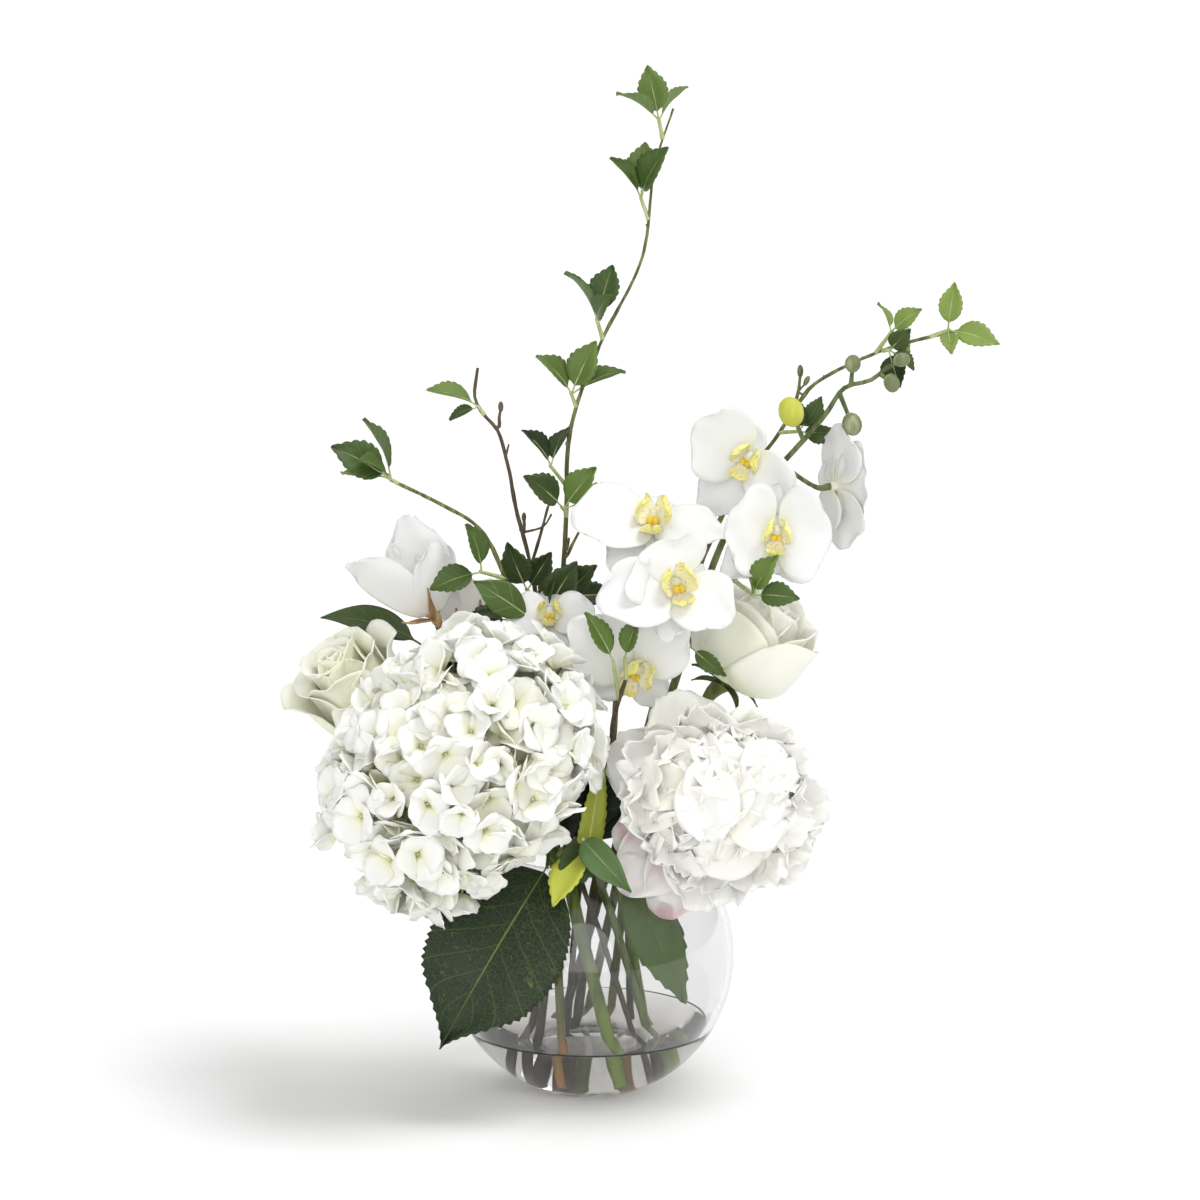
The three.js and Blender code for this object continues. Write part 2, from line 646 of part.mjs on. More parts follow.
// The hydrangea's stem, its big toothed leaf in front of the bowl, and a leaf above the rim.
function hydrangeaStem() {
  const axis = vec(hydrangea.stemSide).normalize();
  const side = axis.clone().applyMatrix4(headAxes.clone().transpose());
  const { point } = headPoint(side.divide(vec(hydrangea.halfAxes)).normalize(), hydrangea.coreShare);
  const seat = point.clone().addScaledVector(axis, 3);
  const under = seat.clone().addScaledVector(axis, 8);
  const plan = upTo(stems.hydrangea, under);
  const big = { count: 10, columns: 5, cut: 0.07, stalkShare: 0.04, fold: 0.12 };
  return fuse([
    stem(plan),
    cone(under, seat, 4, 5),
    ...leafCluster(plan, {
      foot: [-26, -26, 155], at: [-26, -62, 153], tips: [[-90, -102, 51]],
      ...big, share: 0.62, arch: 0.3, face: [-0.1, -0.95, 0.25],
    }),
    ...leafCluster(plan, {
      foot: [-24, -24, 152], at: [-12, -38, 164], tips: [[-3, -22, 234]],
      share: 0.42, arch: 0.15, face: [-0.2, -0.9, 0.3],
    }),
    ...leafCluster(plan, {
      foot: [-22, -22, 150], at: [-6, -56, 165], tips: [[12, -62, 220], [-22, -84, 134], [18, -78, 140]],
      share: 0.3, arch: 0.3, face: [0.1, -0.9, 0.3],
    }),
  ]);
}

function peonyStem() {
  const [base, axis] = [vec(peony.base), vec(peony.axis).normalize()];
  const plan = upTo(stems.peony, stemTop(base, axis));
  const big = { count: 8, columns: 5, cut: 0.05, stalkShare: 0.05, fold: 0.15 };
  return fuse([
    stem(plan),
    receptacle(base, axis, plan.radius, 9),
    ...leafCluster(plan, {
      foot: [20, -16, 145], at: [25, -27, 141], tips: [[58, -48, 64]],
      ...big, share: 0.48, arch: 0.25, face: [-0.1, -0.95, 0.3],
    }),
  ]);
}

function magnoliaStem() {
  const ends = [magnoliaFront, magnoliaBehind].map(({ base, axis }) => {
    const direction = vec(axis).normalize();
    const under = stemTop(vec(base), direction);
    const top = vec(base).addScaledVector(direction, -swelling.length / 2);
    return { base: vec(base), direction, under, top };
  });
  const plan = upTo(stems.magnolia, ends[0].under);
  const fork = onStem(plan, stems.magnolia.top.at(-1));
  return fuse([
    stem(plan, 2.4),
    stalk([fork, ends[1].under, ends[1].top].map((p) => p.toArray()), [2, 2], 10),
    ...ends.flatMap(({ base, direction }) => [
      receptacle(base, direction, 2.2, 4.5),
      ...sepals(base, direction, 4, 15, 9, [75, 60]),
    ]),
    ...leafCluster(plan, {
      foot: [-82, 37, 250], at: [-102, 44, 268], tips: [[-170, 46, 288]],
      share: 0.36, arch: 0.5, face: [-0.1, -0.5, 0.85], cut: 0.04, fold: 0.2,
    }),
  ]);
}

// A pedicel from a point on the spray to the flat back of an orchid.
function pedicel(from, bloom) {
  const { axis } = orchidAxes(bloom);
  const seat = vec(bloom.centre).addScaledVector(axis, -orchidBack - gap);
  const { radius, overlap, cup, length } = pedicelShape;
  const behind = seat.clone().addScaledVector(axis, -length);
  const inside = behind.clone().addScaledVector(axis, overlap);
  return [
    stalk([from, behind, inside].map((p) => p.toArray()), [radius, radius], 16),
    cone(behind, seat, radius, cup, 6),
  ];
}

// An orchid spray: each bud has its centre, axis and half length, and the point it hangs from.
function orchidStem(plan, holds, buds) {
  return fuse([
    stem(plan, 1.8),
    ...holds.flatMap(([from, name]) => pedicel(onStem(plan, from), orchids[name])),
    ...buds.flatMap(([centre, axis, size, from]) => [
      bud(centre, axis, size, size * 0.66),
      cone(onStem(plan, from), vec(centre), stub.radius, stub.radius, 4),
    ]),
  ]);
}

function leafyBranch(plan, clusters, twigs = [], buds = []) {
  return fuse([
    stem(plan, tipRadius),
    ...clusters.flatMap((cluster) => leafCluster(plan, cluster)),
    ...twigs.map((route) => stalk([onStem(plan, route[0]).toArray(), ...route], twigRadii, 14)),
    ...buds.map(([centre, axis, size]) => bud(centre, axis, size, size * 0.5)),
  ]);
}

const rightHolds = [
  [[92, 16, 368], "orchid_top"],
  [[84, 17, 348], "orchid_right"],
  [[110, 14, 397], "orchid_side"],
];
const rightBuds = [
  [[123, -2, 424], [-0.3, -0.5, 0.8], 9, [124, 13, 412]],
  [[160, -6, 417], [0.2, -0.5, -0.8], 10, [146, 8, 441]],
  [[160, -6, 454], [0, -0.6, 0.8], 7, [156, 7, 449]],
  [[184, -4, 442], [0.3, -0.3, -0.9], 8, [172, 5, 453]],
  [[190, -2, 456], [0.9, -0.3, 0.2], 7, [179, 4, 455]],
];
const leftHolds = [
  [[28, -5, 318], "orchid_left"],
  [[26, -6, 308], "orchid_middle"],
  [[17, -12, 252], "orchid_low"],
  [[18, -10, 270], "orchid_hidden"],
];

// Leaf clusters: where a stub starts on its branch, where it ends, and the tips of its leaves.
const tallClusters = [
  { foot: [43, 28, 589], at: [42, 26, 601], tips: [[35, 26, 633], [16, 12, 616], [60, 34, 620]] },
  { foot: [36, 28, 546], at: [31, 30, 563], tips: [[34, 42, 586], [48, 12, 584], [12, 22, 577]] },
  { foot: [8, 28, 466], at: [4, 24, 479], tips: [[14, 32, 511], [22, 6, 500], [-15, 20, 508]] },
  { foot: [-9, 29, 424], at: [-12, 26, 433], tips: [[4, 22, 465], [-32, 14, 456], [22, 32, 444]] },
  { foot: [-14, 30, 374], at: [-25, 24, 388], tips: [[-42, 14, 411], [-12, 42, 410]] },
  { foot: [-15, 30, 355], at: [-16, 20, 362], tips: [[4, 12, 388], [16, 30, 374]] },
  { foot: [-17, 28, 300], at: [-14, 18, 306], tips: [[4, 6, 328], [14, 26, 306]] },
];
const leftClusters = [
  {
    foot: [-117, -8, 381], at: [-123, -8, 384],
    tips: [[-157, -20, 405], [-153, 12, 384], [-139, 4, 419], [-137, -26, 376]],
  },
  { foot: [-57, 1, 328], at: [-69, -6, 334], tips: [[-97, -14, 324], [-76, -10, 356]] },
  { foot: [-42, 12, 262], at: [-50, -2, 292], tips: [[-84, -20, 318], [-66, 6, 318]], fold: 0.2 },
];
const twigClusters = [
  { foot: [-64, 18, 421], at: [-69, 17, 426], tips: [[-99, 4, 437], [-86, 24, 414]] },
  { foot: [-42, 21, 335], at: [-32, 16, 345], tips: [[-22, 10, 369], [-42, 6, 368]] },
];
const rightClusters = [
  { foot: [209, 17, 468], at: [221, 15, 473], tips: [[252, 2, 464], [224, 12, 505], [220, -4, 460]] },
  { foot: [176, 23, 458], at: [186, 20, 472], tips: [[204, 10, 488], [174, 26, 490], [197, 30, 458]] },
  { foot: [162, 24, 450], at: [170, 34, 446], tips: [[186, 34, 436], [166, 42, 428]] },
  { foot: [118, 33, 407], at: [132, 32, 404], tips: [[142, 22, 384], [156, 38, 406]] },
];
const rightLowClusters = [
  { foot: [88, -11, 321], at: [98, -10, 326], tips: [[112, -6, 347], [128, -14, 324], [92, -2, 346]] },
  { foot: [38, -8, 218], at: [50, -8, 226], tips: [[82, -4, 224]] },
];
const frontClusters = [
  { foot: [17, -60, 255], at: [17, -62, 262], tips: [[-4, -68, 293]] },
  { foot: [22, -62, 269], at: [23, -62, 272], tips: [[32, -66, 292]] },
];
const budTwig = [[127, 30, 424], [129, 28, 434], [128, 28, 446]];
const branchBuds = [[[128, 28, 447], [0, 0, 1], 6]];

// ---- The arrangement ----

function buildArrangement() {
  const group = new THREE.Group();
  const add = (name, solid, color, look = {}) => {
    const material = new THREE.MeshStandardMaterial({ color, roughness: 0.6, metalness: 0, ...look });
    const mesh = new THREE.Mesh(geometryOf(solid), material);
    mesh.name = name;
    group.add(mesh);
  };
  const clear = { roughness: 0.05, transparent: true, opacity: 0.35 };
  add("glass_bowl", glassBowl(), tint.glass, clear);
  add("water", waterBody(), tint.glass, clear);
  add("hydrangea_head", hydrangeaHead(), tint.petal);
  add("hydrangea_stem", hydrangeaStem(), tint.darkLeaf);
  add("peony_bloom", peonyBloom(), tint.petal);
  add("peony_stem", peonyStem(), tint.darkLeaf);
  add("rose_left_bloom", roseBloom(roseLeft), tint.creamPetal);
  add("rose_left_stem", roseStem(stems.roseLeft, roseLeft), tint.darkLeaf);
  add("rose_right_bloom", roseBloom(roseRight), tint.creamPetal);
  add("rose_right_stem", roseStem(stems.roseRight, roseRight), tint.darkLeaf);
  add("magnolia_front_bloom", magnoliaBloom(magnoliaFront), tint.petal);
  add("magnolia_behind_bloom", magnoliaBloom(magnoliaBehind), tint.petal);
  add("magnolia_stem", magnoliaStem(), tint.bark);
  for (const [name, plan] of Object.entries(orchids)) {
    add(`${name}_bloom`, orchidBloom(plan), tint.petal);
    add(`${name}_lip`, orchidLip(plan), tint.lip);
  }
  add("orchid_right_stem", orchidStem(stems.orchidRight, rightHolds, rightBuds), tint.orchidStem);
  add("orchid_left_stem", orchidStem(stems.orchidLeft, leftHolds, []), tint.orchidStem);
  add("front_twig", leafyBranch(stems.frontTwig, frontClusters), tint.leaf);
  add("tall_branch", leafyBranch(stems.tallBranch, tallClusters), tint.leaf);
  add("left_branch", leafyBranch(stems.leftBranch, leftClusters), tint.leaf);
  add("left_twig", leafyBranch(stems.twig, twigClusters), tint.leaf);
  add("right_branch", leafyBranch(stems.rightTop, rightClusters, [budTwig], branchBuds), tint.leaf);
  add("right_low_branch", leafyBranch(stems.rightLow, rightLowClusters), tint.leaf);
  return group;
}

export default buildArrangement();
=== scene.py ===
import math
import random
import bpy
import bmesh
from mathutils import Matrix, Vector, noise
from mathutils.geometry import interpolate_bezier, intersect_point_line


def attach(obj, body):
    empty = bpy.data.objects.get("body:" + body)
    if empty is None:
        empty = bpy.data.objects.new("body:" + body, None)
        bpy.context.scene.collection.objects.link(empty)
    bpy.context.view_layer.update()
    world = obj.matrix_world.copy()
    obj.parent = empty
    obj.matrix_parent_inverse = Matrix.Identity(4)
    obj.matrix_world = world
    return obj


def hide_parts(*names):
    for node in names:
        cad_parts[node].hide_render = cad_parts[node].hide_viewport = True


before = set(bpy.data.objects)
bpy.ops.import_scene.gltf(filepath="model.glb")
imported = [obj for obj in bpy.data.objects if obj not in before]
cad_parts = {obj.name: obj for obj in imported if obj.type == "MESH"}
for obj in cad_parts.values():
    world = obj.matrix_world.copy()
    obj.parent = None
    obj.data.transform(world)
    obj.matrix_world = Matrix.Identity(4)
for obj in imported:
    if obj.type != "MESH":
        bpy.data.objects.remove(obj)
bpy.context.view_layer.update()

print("frame loaded")

# All pieces are worked out in millimetres and become metres in finishPiece.
metresPerMillimetre = 0.001
golden = math.pi * (3 - math.sqrt(5))  # the turn that spreads points evenly over a ball

# The view and the light, in millimetres and degrees. Only floorReach is in metres, and From is the
# direction that a lamp shines from.
view = {"target": (6.17, 0, 307.2), "distance": 2200, "elevation": 9.5, "frameWidth": 740.4, "sensor": 36}
studio = {
    "backdrop": 1.05, "skyTop": 0.72, "skyLow": 0.44, "skyBand": (-0.1, 0.9),
    "keyPower": 1.42, "keySpread": 28, "keyFrom": (0.85, -0.3, 1.9),
    "fillPower": 1.05, "fillSpread": 50, "fillFrom": (-0.12, -0.97, 0.24),
    "floorColor": (0.97, 0.97, 0.97), "floorShade": 0.99, "floorGrain": 30.0, "floorRoughness": 0.9,
    "floorGloss": 0.1, "floorReach": 60,
}


def toMetres(point):
    return Vector(point) * metresPerMillimetre


def addToScene(thing):
    bpy.context.scene.collection.objects.link(thing)
    return thing


def buildCamera():
    data = bpy.data.cameras.new("photoCamera")
    data.sensor_width = view["sensor"]
    data.lens = data.sensor_width * view["distance"] / view["frameWidth"]
    camera = addToScene(bpy.data.objects.new("photoCamera", data))
    rise = math.radians(view["elevation"])
    offset = Vector((0, -math.cos(rise), math.sin(rise))) * view["distance"]
    camera.location = toMetres(Vector(view["target"]) + offset)
    camera.rotation_euler = (math.pi / 2 - rise, 0, 0)
    bpy.context.scene.camera = camera


def addLamp(name):
    # A far, wide lamp, so that its shadow is soft and the floor is lit evenly.
    data = bpy.data.lights.new(name, "SUN")
    data.energy = studio[name + "Power"]
    data.angle = math.radians(studio[name + "Spread"])
    lamp = addToScene(bpy.data.objects.new(name + "Lamp", data))
    lamp.rotation_euler = Vector(studio[name + "From"]).to_track_quat("Z", "Y").to_euler()


def buildSky():
    # Pure white behind the object; the light itself is brighter overhead than at the sides.
    world = bpy.data.worlds.new("whiteRoom")
    world.use_nodes = True
    tree = world.node_tree
    sky = tree.nodes["Background"]
    direction = put(tree, "TexCoord").outputs["Generated"]
    height = put(tree, "SeparateXYZ", None, {0: direction}).outputs[2]
    glow = remap(tree, height, *studio["skyBand"], studio["skyLow"], studio["skyTop"])
    seen = put(tree, "LightPath").outputs["Is Camera Ray"]
    lift = calc(tree, "SUBTRACT", studio["backdrop"], glow)
    tree.links.new(calc(tree, "ADD", glow, calc(tree, "MULTIPLY", lift, seen)), sky.inputs["Strength"])
    sky.inputs["Color"].default_value = (1, 1, 1, 1)
    bpy.context.scene.world = world


def buildStudio():
    buildSky()
    bpy.context.scene.view_settings.view_transform = "Standard"
    addLamp("key")
    addLamp("fill")
    bm = bmesh.new()
    bmesh.ops.create_grid(bm, x_segments=4, y_segments=4, size=studio["floorReach"])
    mesh = bpy.data.meshes.new("floor")
    bm.to_mesh(mesh)
    bm.free()
    mesh.materials.append(floorMaterial())
    addToScene(bpy.data.objects.new("floor", mesh))
    print("studio ready")


def put(tree, kind, settings=None, sockets=None):
    # Adds a shader node; a socket value may be a number, a colour or another node's output.
    item = tree.nodes.new("ShaderNode" + kind)
    for name, value in (settings or {}).items():
        setattr(item, name, value)
    for name, value in (sockets or {}).items():
        if isinstance(value, bpy.types.NodeSocket):
            tree.links.new(value, item.inputs[name])
        else:
            item.inputs[name].default_value = value
    return item


def calc(tree, operation, first, second=0.0):
    return put(tree, "Math", {"operation": operation}, {0: first, 1: second}).outputs[0]


def remap(tree, value, low, high, lowTo=0.0, highTo=1.0):
    smooth = {"interpolation_type": "SMOOTHSTEP"}
    sockets = {"Value": value, 1: low, 2: high, 3: lowTo, 4: highTo}
    return put(tree, "MapRange", smooth, sockets).outputs["Result"]


def blend(tree, factor, first, second, mode="MIX"):
    settings = {"data_type": "RGBA", "blend_type": mode}
    return put(tree, "Mix", settings, {0: factor, 6: first, 7: second}).outputs[2]


def speckle(tree, vector, scale, detail=3.0, roughness=0.5):
    sockets = {"Vector": vector, "Scale": scale, "Detail": detail, "Roughness": roughness}
    return put(tree, "TexNoise", None, sockets).outputs["Fac"]


def stretched(tree, vector, scale):
    return put(tree, "Mapping", None, {"Vector": vector, "Scale": scale}).outputs[0]


def newGroup(name, inputs, outputs):
    # inputs: name -> default, a colour when it has four numbers.
    group = bpy.data.node_groups.new(name, "ShaderNodeTree")
    for socketName, value in inputs.items():
        kind = "NodeSocketColor" if isinstance(value, tuple) else "NodeSocketFloat"
        socket = group.interface.new_socket(name=socketName, in_out="INPUT", socket_type=kind)
        socket.default_value = value
    for socketName, kind in outputs.items():
        group.interface.new_socket(name=socketName, in_out="OUTPUT", socket_type=kind)
    return group, group.nodes.new("NodeGroupInput"), group.nodes.new("NodeGroupOutput")


def objectPlace(tree):
    return put(tree, "TexCoord").outputs["Object"]


def bladeUv(tree):
    # u across and v along a petal or a leaf, each from 0 to 1.
    uv = put(tree, "UVMap", {"uv_map": "blade"}).outputs[0]
    parts = put(tree, "SeparateXYZ", None, {0: uv})
    return uv, parts.outputs[0], parts.outputs[1]


def toneOf(tree):
    return put(tree, "Attribute", {"attribute_name": "tone"}).outputs["Fac"]


patternOut = {"Color": "NodeSocketColor", "Roughness": "NodeSocketFloat", "Height": "NodeSocketFloat"}
petalLook = {"veinStretch": (34, 1.6, 1), "mottleScale": 90.0, "roughness": (0.42, 0.6), "blushEdge": 0.18}
leafLook = {"ribWidth": (0.04, 0.012), "sideCurve": 0.24, "netStretch": (1.0, 1.7, 1), "netWidth": 0.05,
            "mottleScale": 60.0, "roughness": (0.38, 0.55)}
barkLook = {"streakStretch": (1, 1, 0.12), "patchScale": 45.0, "footBlur": 0.06, "footFrom": 0.045,
            "footShare": 0.85, "roughness": (0.5, 0.75)}


def opaque(color):
    return (*color, 1)


def petalGroup():
    # Fine lengthwise veins, a tinted root and a soft mottle.
    group, given, result = newGroup("petalPattern", {
        "Petal": (1, 1, 1, 1), "Root": (1, 1, 0.6, 1), "Blush": (1, 0.8, 0.8, 1),
        "Root Reach": 0.4, "Depth Tint": 0.12, "Veins": 0.3,
        "Blush Amount": 0.0, "Blush Scale": 90.0, "Blush From": 0.5,
    }, patternOut)
    uv, along = bladeUv(group)[::2]
    ribs = speckle(group, stretched(group, uv, petalLook["veinStretch"]), 1.0, 4.0, 0.6)
    mottle = speckle(group, objectPlace(group), petalLook["mottleScale"], 2.0)
    tone = toneOf(group)
    root = remap(group, along, 0.0, given.outputs["Root Reach"], 1.0, 0.0)
    color = blend(group, root, given.outputs["Petal"], given.outputs["Root"])
    shade = calc(group, "MULTIPLY", remap(group, ribs, 0.35, 0.7, 1.0, 0.0), given.outputs["Veins"])
    color = blend(group, shade, color, given.outputs["Root"])
    # Patches of a second colour: a pink flush on the peony backs, speckles on the orchid lip, and painted
    # shade on the hydrangea's core.
    spots = speckle(group, objectPlace(group), given.outputs["Blush Scale"], 2.0)
    spots = calc(group, "SUBTRACT", spots, given.outputs["Blush From"])
    spots = remap(group, spots, 0.0, petalLook["blushEdge"])
    patch = calc(group, "MULTIPLY", spots, given.outputs["Blush Amount"])
    color = blend(group, patch, color, given.outputs["Blush"])
    # Blades with a low tone lean towards the root colour. On the hydrangea the tone follows depth in the
    # head, so there this is partly the greener inner florets and partly painted warm shade.
    depth = calc(group, "MULTIPLY", remap(group, tone, 0.0, 0.9, 1.0, 0.0), given.outputs["Depth Tint"])
    color = blend(group, depth, color, given.outputs["Root"])
    group.links.new(color, result.inputs["Color"])
    group.links.new(remap(group, mottle, 0.3, 0.7, *petalLook["roughness"]), result.inputs["Roughness"])
    group.links.new(ribs, result.inputs["Height"])
    return group


def leafGroup():
    # Midrib, arching side veins and a fine net between them.
    group, given, result = newGroup("leafPattern", {
        "Leaf": (0.1, 0.3, 0.05, 1), "Dark": (0.05, 0.12, 0.03, 1), "Vein": (0.5, 0.6, 0.25, 1),
        "Side Veins": 7.0, "Side Strength": 0.5, "Net": 0.2, "Net Scale": 16.0, "Rib Width": 1.0,
    }, patternOut)
    uv, across, along = bladeUv(group)
    aside = calc(group, "ABSOLUTE", calc(group, "SUBTRACT", across, 0.5))
    width = remap(group, along, 0.0, 1.0, *leafLook["ribWidth"])
    width = calc(group, "MULTIPLY", width, given.outputs["Rib Width"])
    rib = calc(group, "SUBTRACT", 1.0, remap(group, calc(group, "DIVIDE", aside, width), 0.5, 1.2))
    curve = calc(group, "POWER", calc(group, "MULTIPLY", aside, 2.0), 0.8)
    curve = calc(group, "MULTIPLY", curve, leafLook["sideCurve"])
    step = calc(group, "MULTIPLY", calc(group, "SUBTRACT", along, curve), given.outputs["Side Veins"])
    ray = calc(group, "ABSOLUTE", calc(group, "SUBTRACT", calc(group, "FRACT", step), 0.5))
    thin = calc(group, "ADD", calc(group, "MULTIPLY", given.outputs["Rib Width"], 0.5), 0.5)
    ray = remap(group, calc(group, "DIVIDE", ray, thin), 0.015, 0.07, 1.0, 0.0)
    side = calc(group, "MULTIPLY", ray, given.outputs["Side Strength"])
    cells = put(group, "TexVoronoi", {"feature": "DISTANCE_TO_EDGE"}, {
        "Vector": stretched(group, uv, leafLook["netStretch"]), "Scale": given.outputs["Net Scale"]})
    net = remap(group, cells.outputs["Distance"], 0.0, leafLook["netWidth"], 1.0, 0.0)
    net = calc(group, "MULTIPLY", net, given.outputs["Net"])
    veins = calc(group, "MAXIMUM", rib, calc(group, "MAXIMUM", side, net))
    mottle = speckle(group, objectPlace(group), leafLook["mottleScale"])
    tone = calc(group, "MULTIPLY", toneOf(group), 0.7)
    tone = calc(group, "ADD", tone, calc(group, "MULTIPLY", mottle, 0.4))
    color = blend(group, remap(group, tone, 0.2, 0.9), given.outputs["Dark"], given.outputs["Leaf"])
    color = blend(group, veins, color, given.outputs["Vein"])
    group.links.new(color, result.inputs["Color"])
    group.links.new(remap(group, mottle, 0.3, 0.7, *leafLook["roughness"]), result.inputs["Roughness"])
    group.links.new(veins, result.inputs["Height"])
    return group


def barkGroup():
    # Streaks and knots, with another colour towards the foot of the stem.
    group, given, result = newGroup("barkPattern", {
        "Bark": (0.2, 0.15, 0.06, 1), "Light": (0.35, 0.35, 0.12, 1), "Foot": (0.08, 0.05, 0.03, 1),
        "Foot Height": 0.2, "Grain": 400.0,
    }, patternOut)
    place = objectPlace(group)
    height = put(group, "SeparateXYZ", None, {0: place}).outputs[2]
    streaks = stretched(group, place, barkLook["streakStretch"])
    streaks = speckle(group, streaks, given.outputs["Grain"], 4.0, 0.65)
    patches = speckle(group, place, barkLook["patchScale"])
    color = blend(group, remap(group, streaks, 0.38, 0.66), given.outputs["Bark"], given.outputs["Light"])
    height = calc(group, "ADD", height, calc(group, "MULTIPLY", patches, barkLook["footBlur"]))
    foot = remap(group, height, barkLook["footFrom"], given.outputs["Foot Height"], 1.0, 0.0)
    color = blend(group, calc(group, "MULTIPLY", foot, barkLook["footShare"]), color, given.outputs["Foot"])
    group.links.new(color, result.inputs["Color"])
    group.links.new(remap(group, streaks, 0.3, 0.7, *barkLook["roughness"]), result.inputs["Roughness"])
    group.links.new(streaks, result.inputs["Height"])
    return group


def newMaterial(name):
    material = bpy.data.materials.new(name)
    material.use_nodes = True
    return material, material.node_tree, material.node_tree.nodes["Principled BSDF"]


def patterned(name, group, values, shader, bump=0.3, depth=0.0004):
    # A material whose colour, roughness and bump come from one of the pattern groups.
    material, tree, surface = newMaterial(name)
    pattern = put(tree, "Group", {"node_tree": group})
    for socketName, value in values.items():
        pattern.inputs[socketName].default_value = value
    for socketName, value in shader.items():
        surface.inputs[socketName].default_value = value
    relief = put(tree, "Bump", None,
                 {"Strength": bump, "Distance": depth, "Height": pattern.outputs["Height"]})
    tree.links.new(pattern.outputs["Color"], surface.inputs["Base Color"])
    tree.links.new(pattern.outputs["Roughness"], surface.inputs["Roughness"])
    tree.links.new(relief.outputs["Normal"], surface.inputs["Normal"])
    return material


def floorMaterial():
    material, tree, surface = newMaterial("paperFloor")
    grain = speckle(tree, objectPlace(tree), studio["floorGrain"])
    low = [c * studio["floorShade"] for c in studio["floorColor"]]
    color = blend(tree, grain, opaque(low), opaque(studio["floorColor"]))
    tree.links.new(color, surface.inputs["Base Color"])
    surface.inputs["Roughness"].default_value = studio["floorRoughness"]
    surface.inputs["Specular IOR Level"].default_value = studio["floorGloss"]
    return material


def clearMaterial(name, ior, clear, tint):
    # Faint ripples keep the highlights from being perfectly even; lamps shine through it.
    clear, tint = opaque(clear), opaque(tint)
    material, tree, surface = newMaterial(name)
    surface.inputs["Transmission Weight"].default_value = 1
    surface.inputs["IOR"].default_value = ior
    ripple = speckle(tree, objectPlace(tree), 18.0, 1.0)
    color = blend(tree, ripple, clear, tint)
    tree.links.new(color, surface.inputs["Base Color"])
    tree.links.new(remap(tree, ripple, 0.3, 0.7, 0.0, 0.01), surface.inputs["Roughness"])
    relief = put(tree, "Bump", None, {"Strength": 0.05, "Distance": 0.0005, "Height": ripple})
    tree.links.new(relief.outputs["Normal"], surface.inputs["Normal"])
    passing = put(tree, "BsdfTransparent", None, {"Color": clear})
    shadowed = put(tree, "LightPath").outputs["Is Shadow Ray"]
    both = put(tree, "MixShader", None, {0: shadowed, 1: surface.outputs[0], 2: passing.outputs[0]})
    tree.links.new(both.outputs[0], tree.nodes["Material Output"].inputs["Surface"])
    return material


petals = petalGroup()
leaves = leafGroup()
barks = barkGroup()
petalShader = {"Subsurface Weight": 0.3, "Subsurface Radius": (0.0016, 0.0016, 0.0015),
               "Subsurface Scale": 1.0, "Specular IOR Level": 0.35, "Sheen Weight": 0.15}
leafShader = {"Subsurface Weight": 0.05, "Subsurface Radius": (0.001, 0.002, 0.001),
              "Subsurface Scale": 1.0, "Specular IOR Level": 0.3}
barkShader = {"Specular IOR Level": 0.3}


def petalMaterial(name, petal, root, reach=0.4, veins=0.12, depth=0.12, blushAndPaintedShade=None, spots=None):
    # The patch colour is a pink flush on the peony backs, speckles on the orchid lip and painted shade on
    # the hydrangea's core; spots give how much of it shows, its scale and its threshold.
    values = {"Petal": opaque(petal), "Root": opaque(root), "Root Reach": reach, "Veins": veins,
              "Depth Tint": depth}
    if blushAndPaintedShade:
        values["Blush"] = opaque(blushAndPaintedShade)
        values.update(zip(("Blush Amount", "Blush Scale", "Blush From"), spots))
    return patterned(name, petals, values, petalShader, 0.35)


def leafMaterial(name, leaf, dark, vein, side=0.4, net=0.1, count=7.0, scale=16.0, depth=0.0004, rib=1.0):
    values = {"Leaf": opaque(leaf), "Dark": opaque(dark), "Vein": opaque(vein), "Side Strength": side,
              "Net": net, "Side Veins": count, "Net Scale": scale, "Rib Width": rib}
    return patterned(name, leaves, values, leafShader, 0.5, depth)


def barkMaterial(name, bark, light, foot, footHeight=0.2, grain=400.0):
    values = {"Bark": opaque(bark), "Light": opaque(light), "Foot": opaque(foot),
              "Foot Height": footHeight, "Grain": grain}
    return patterned(name, barks, values, barkShader, 0.6, 0.0008)


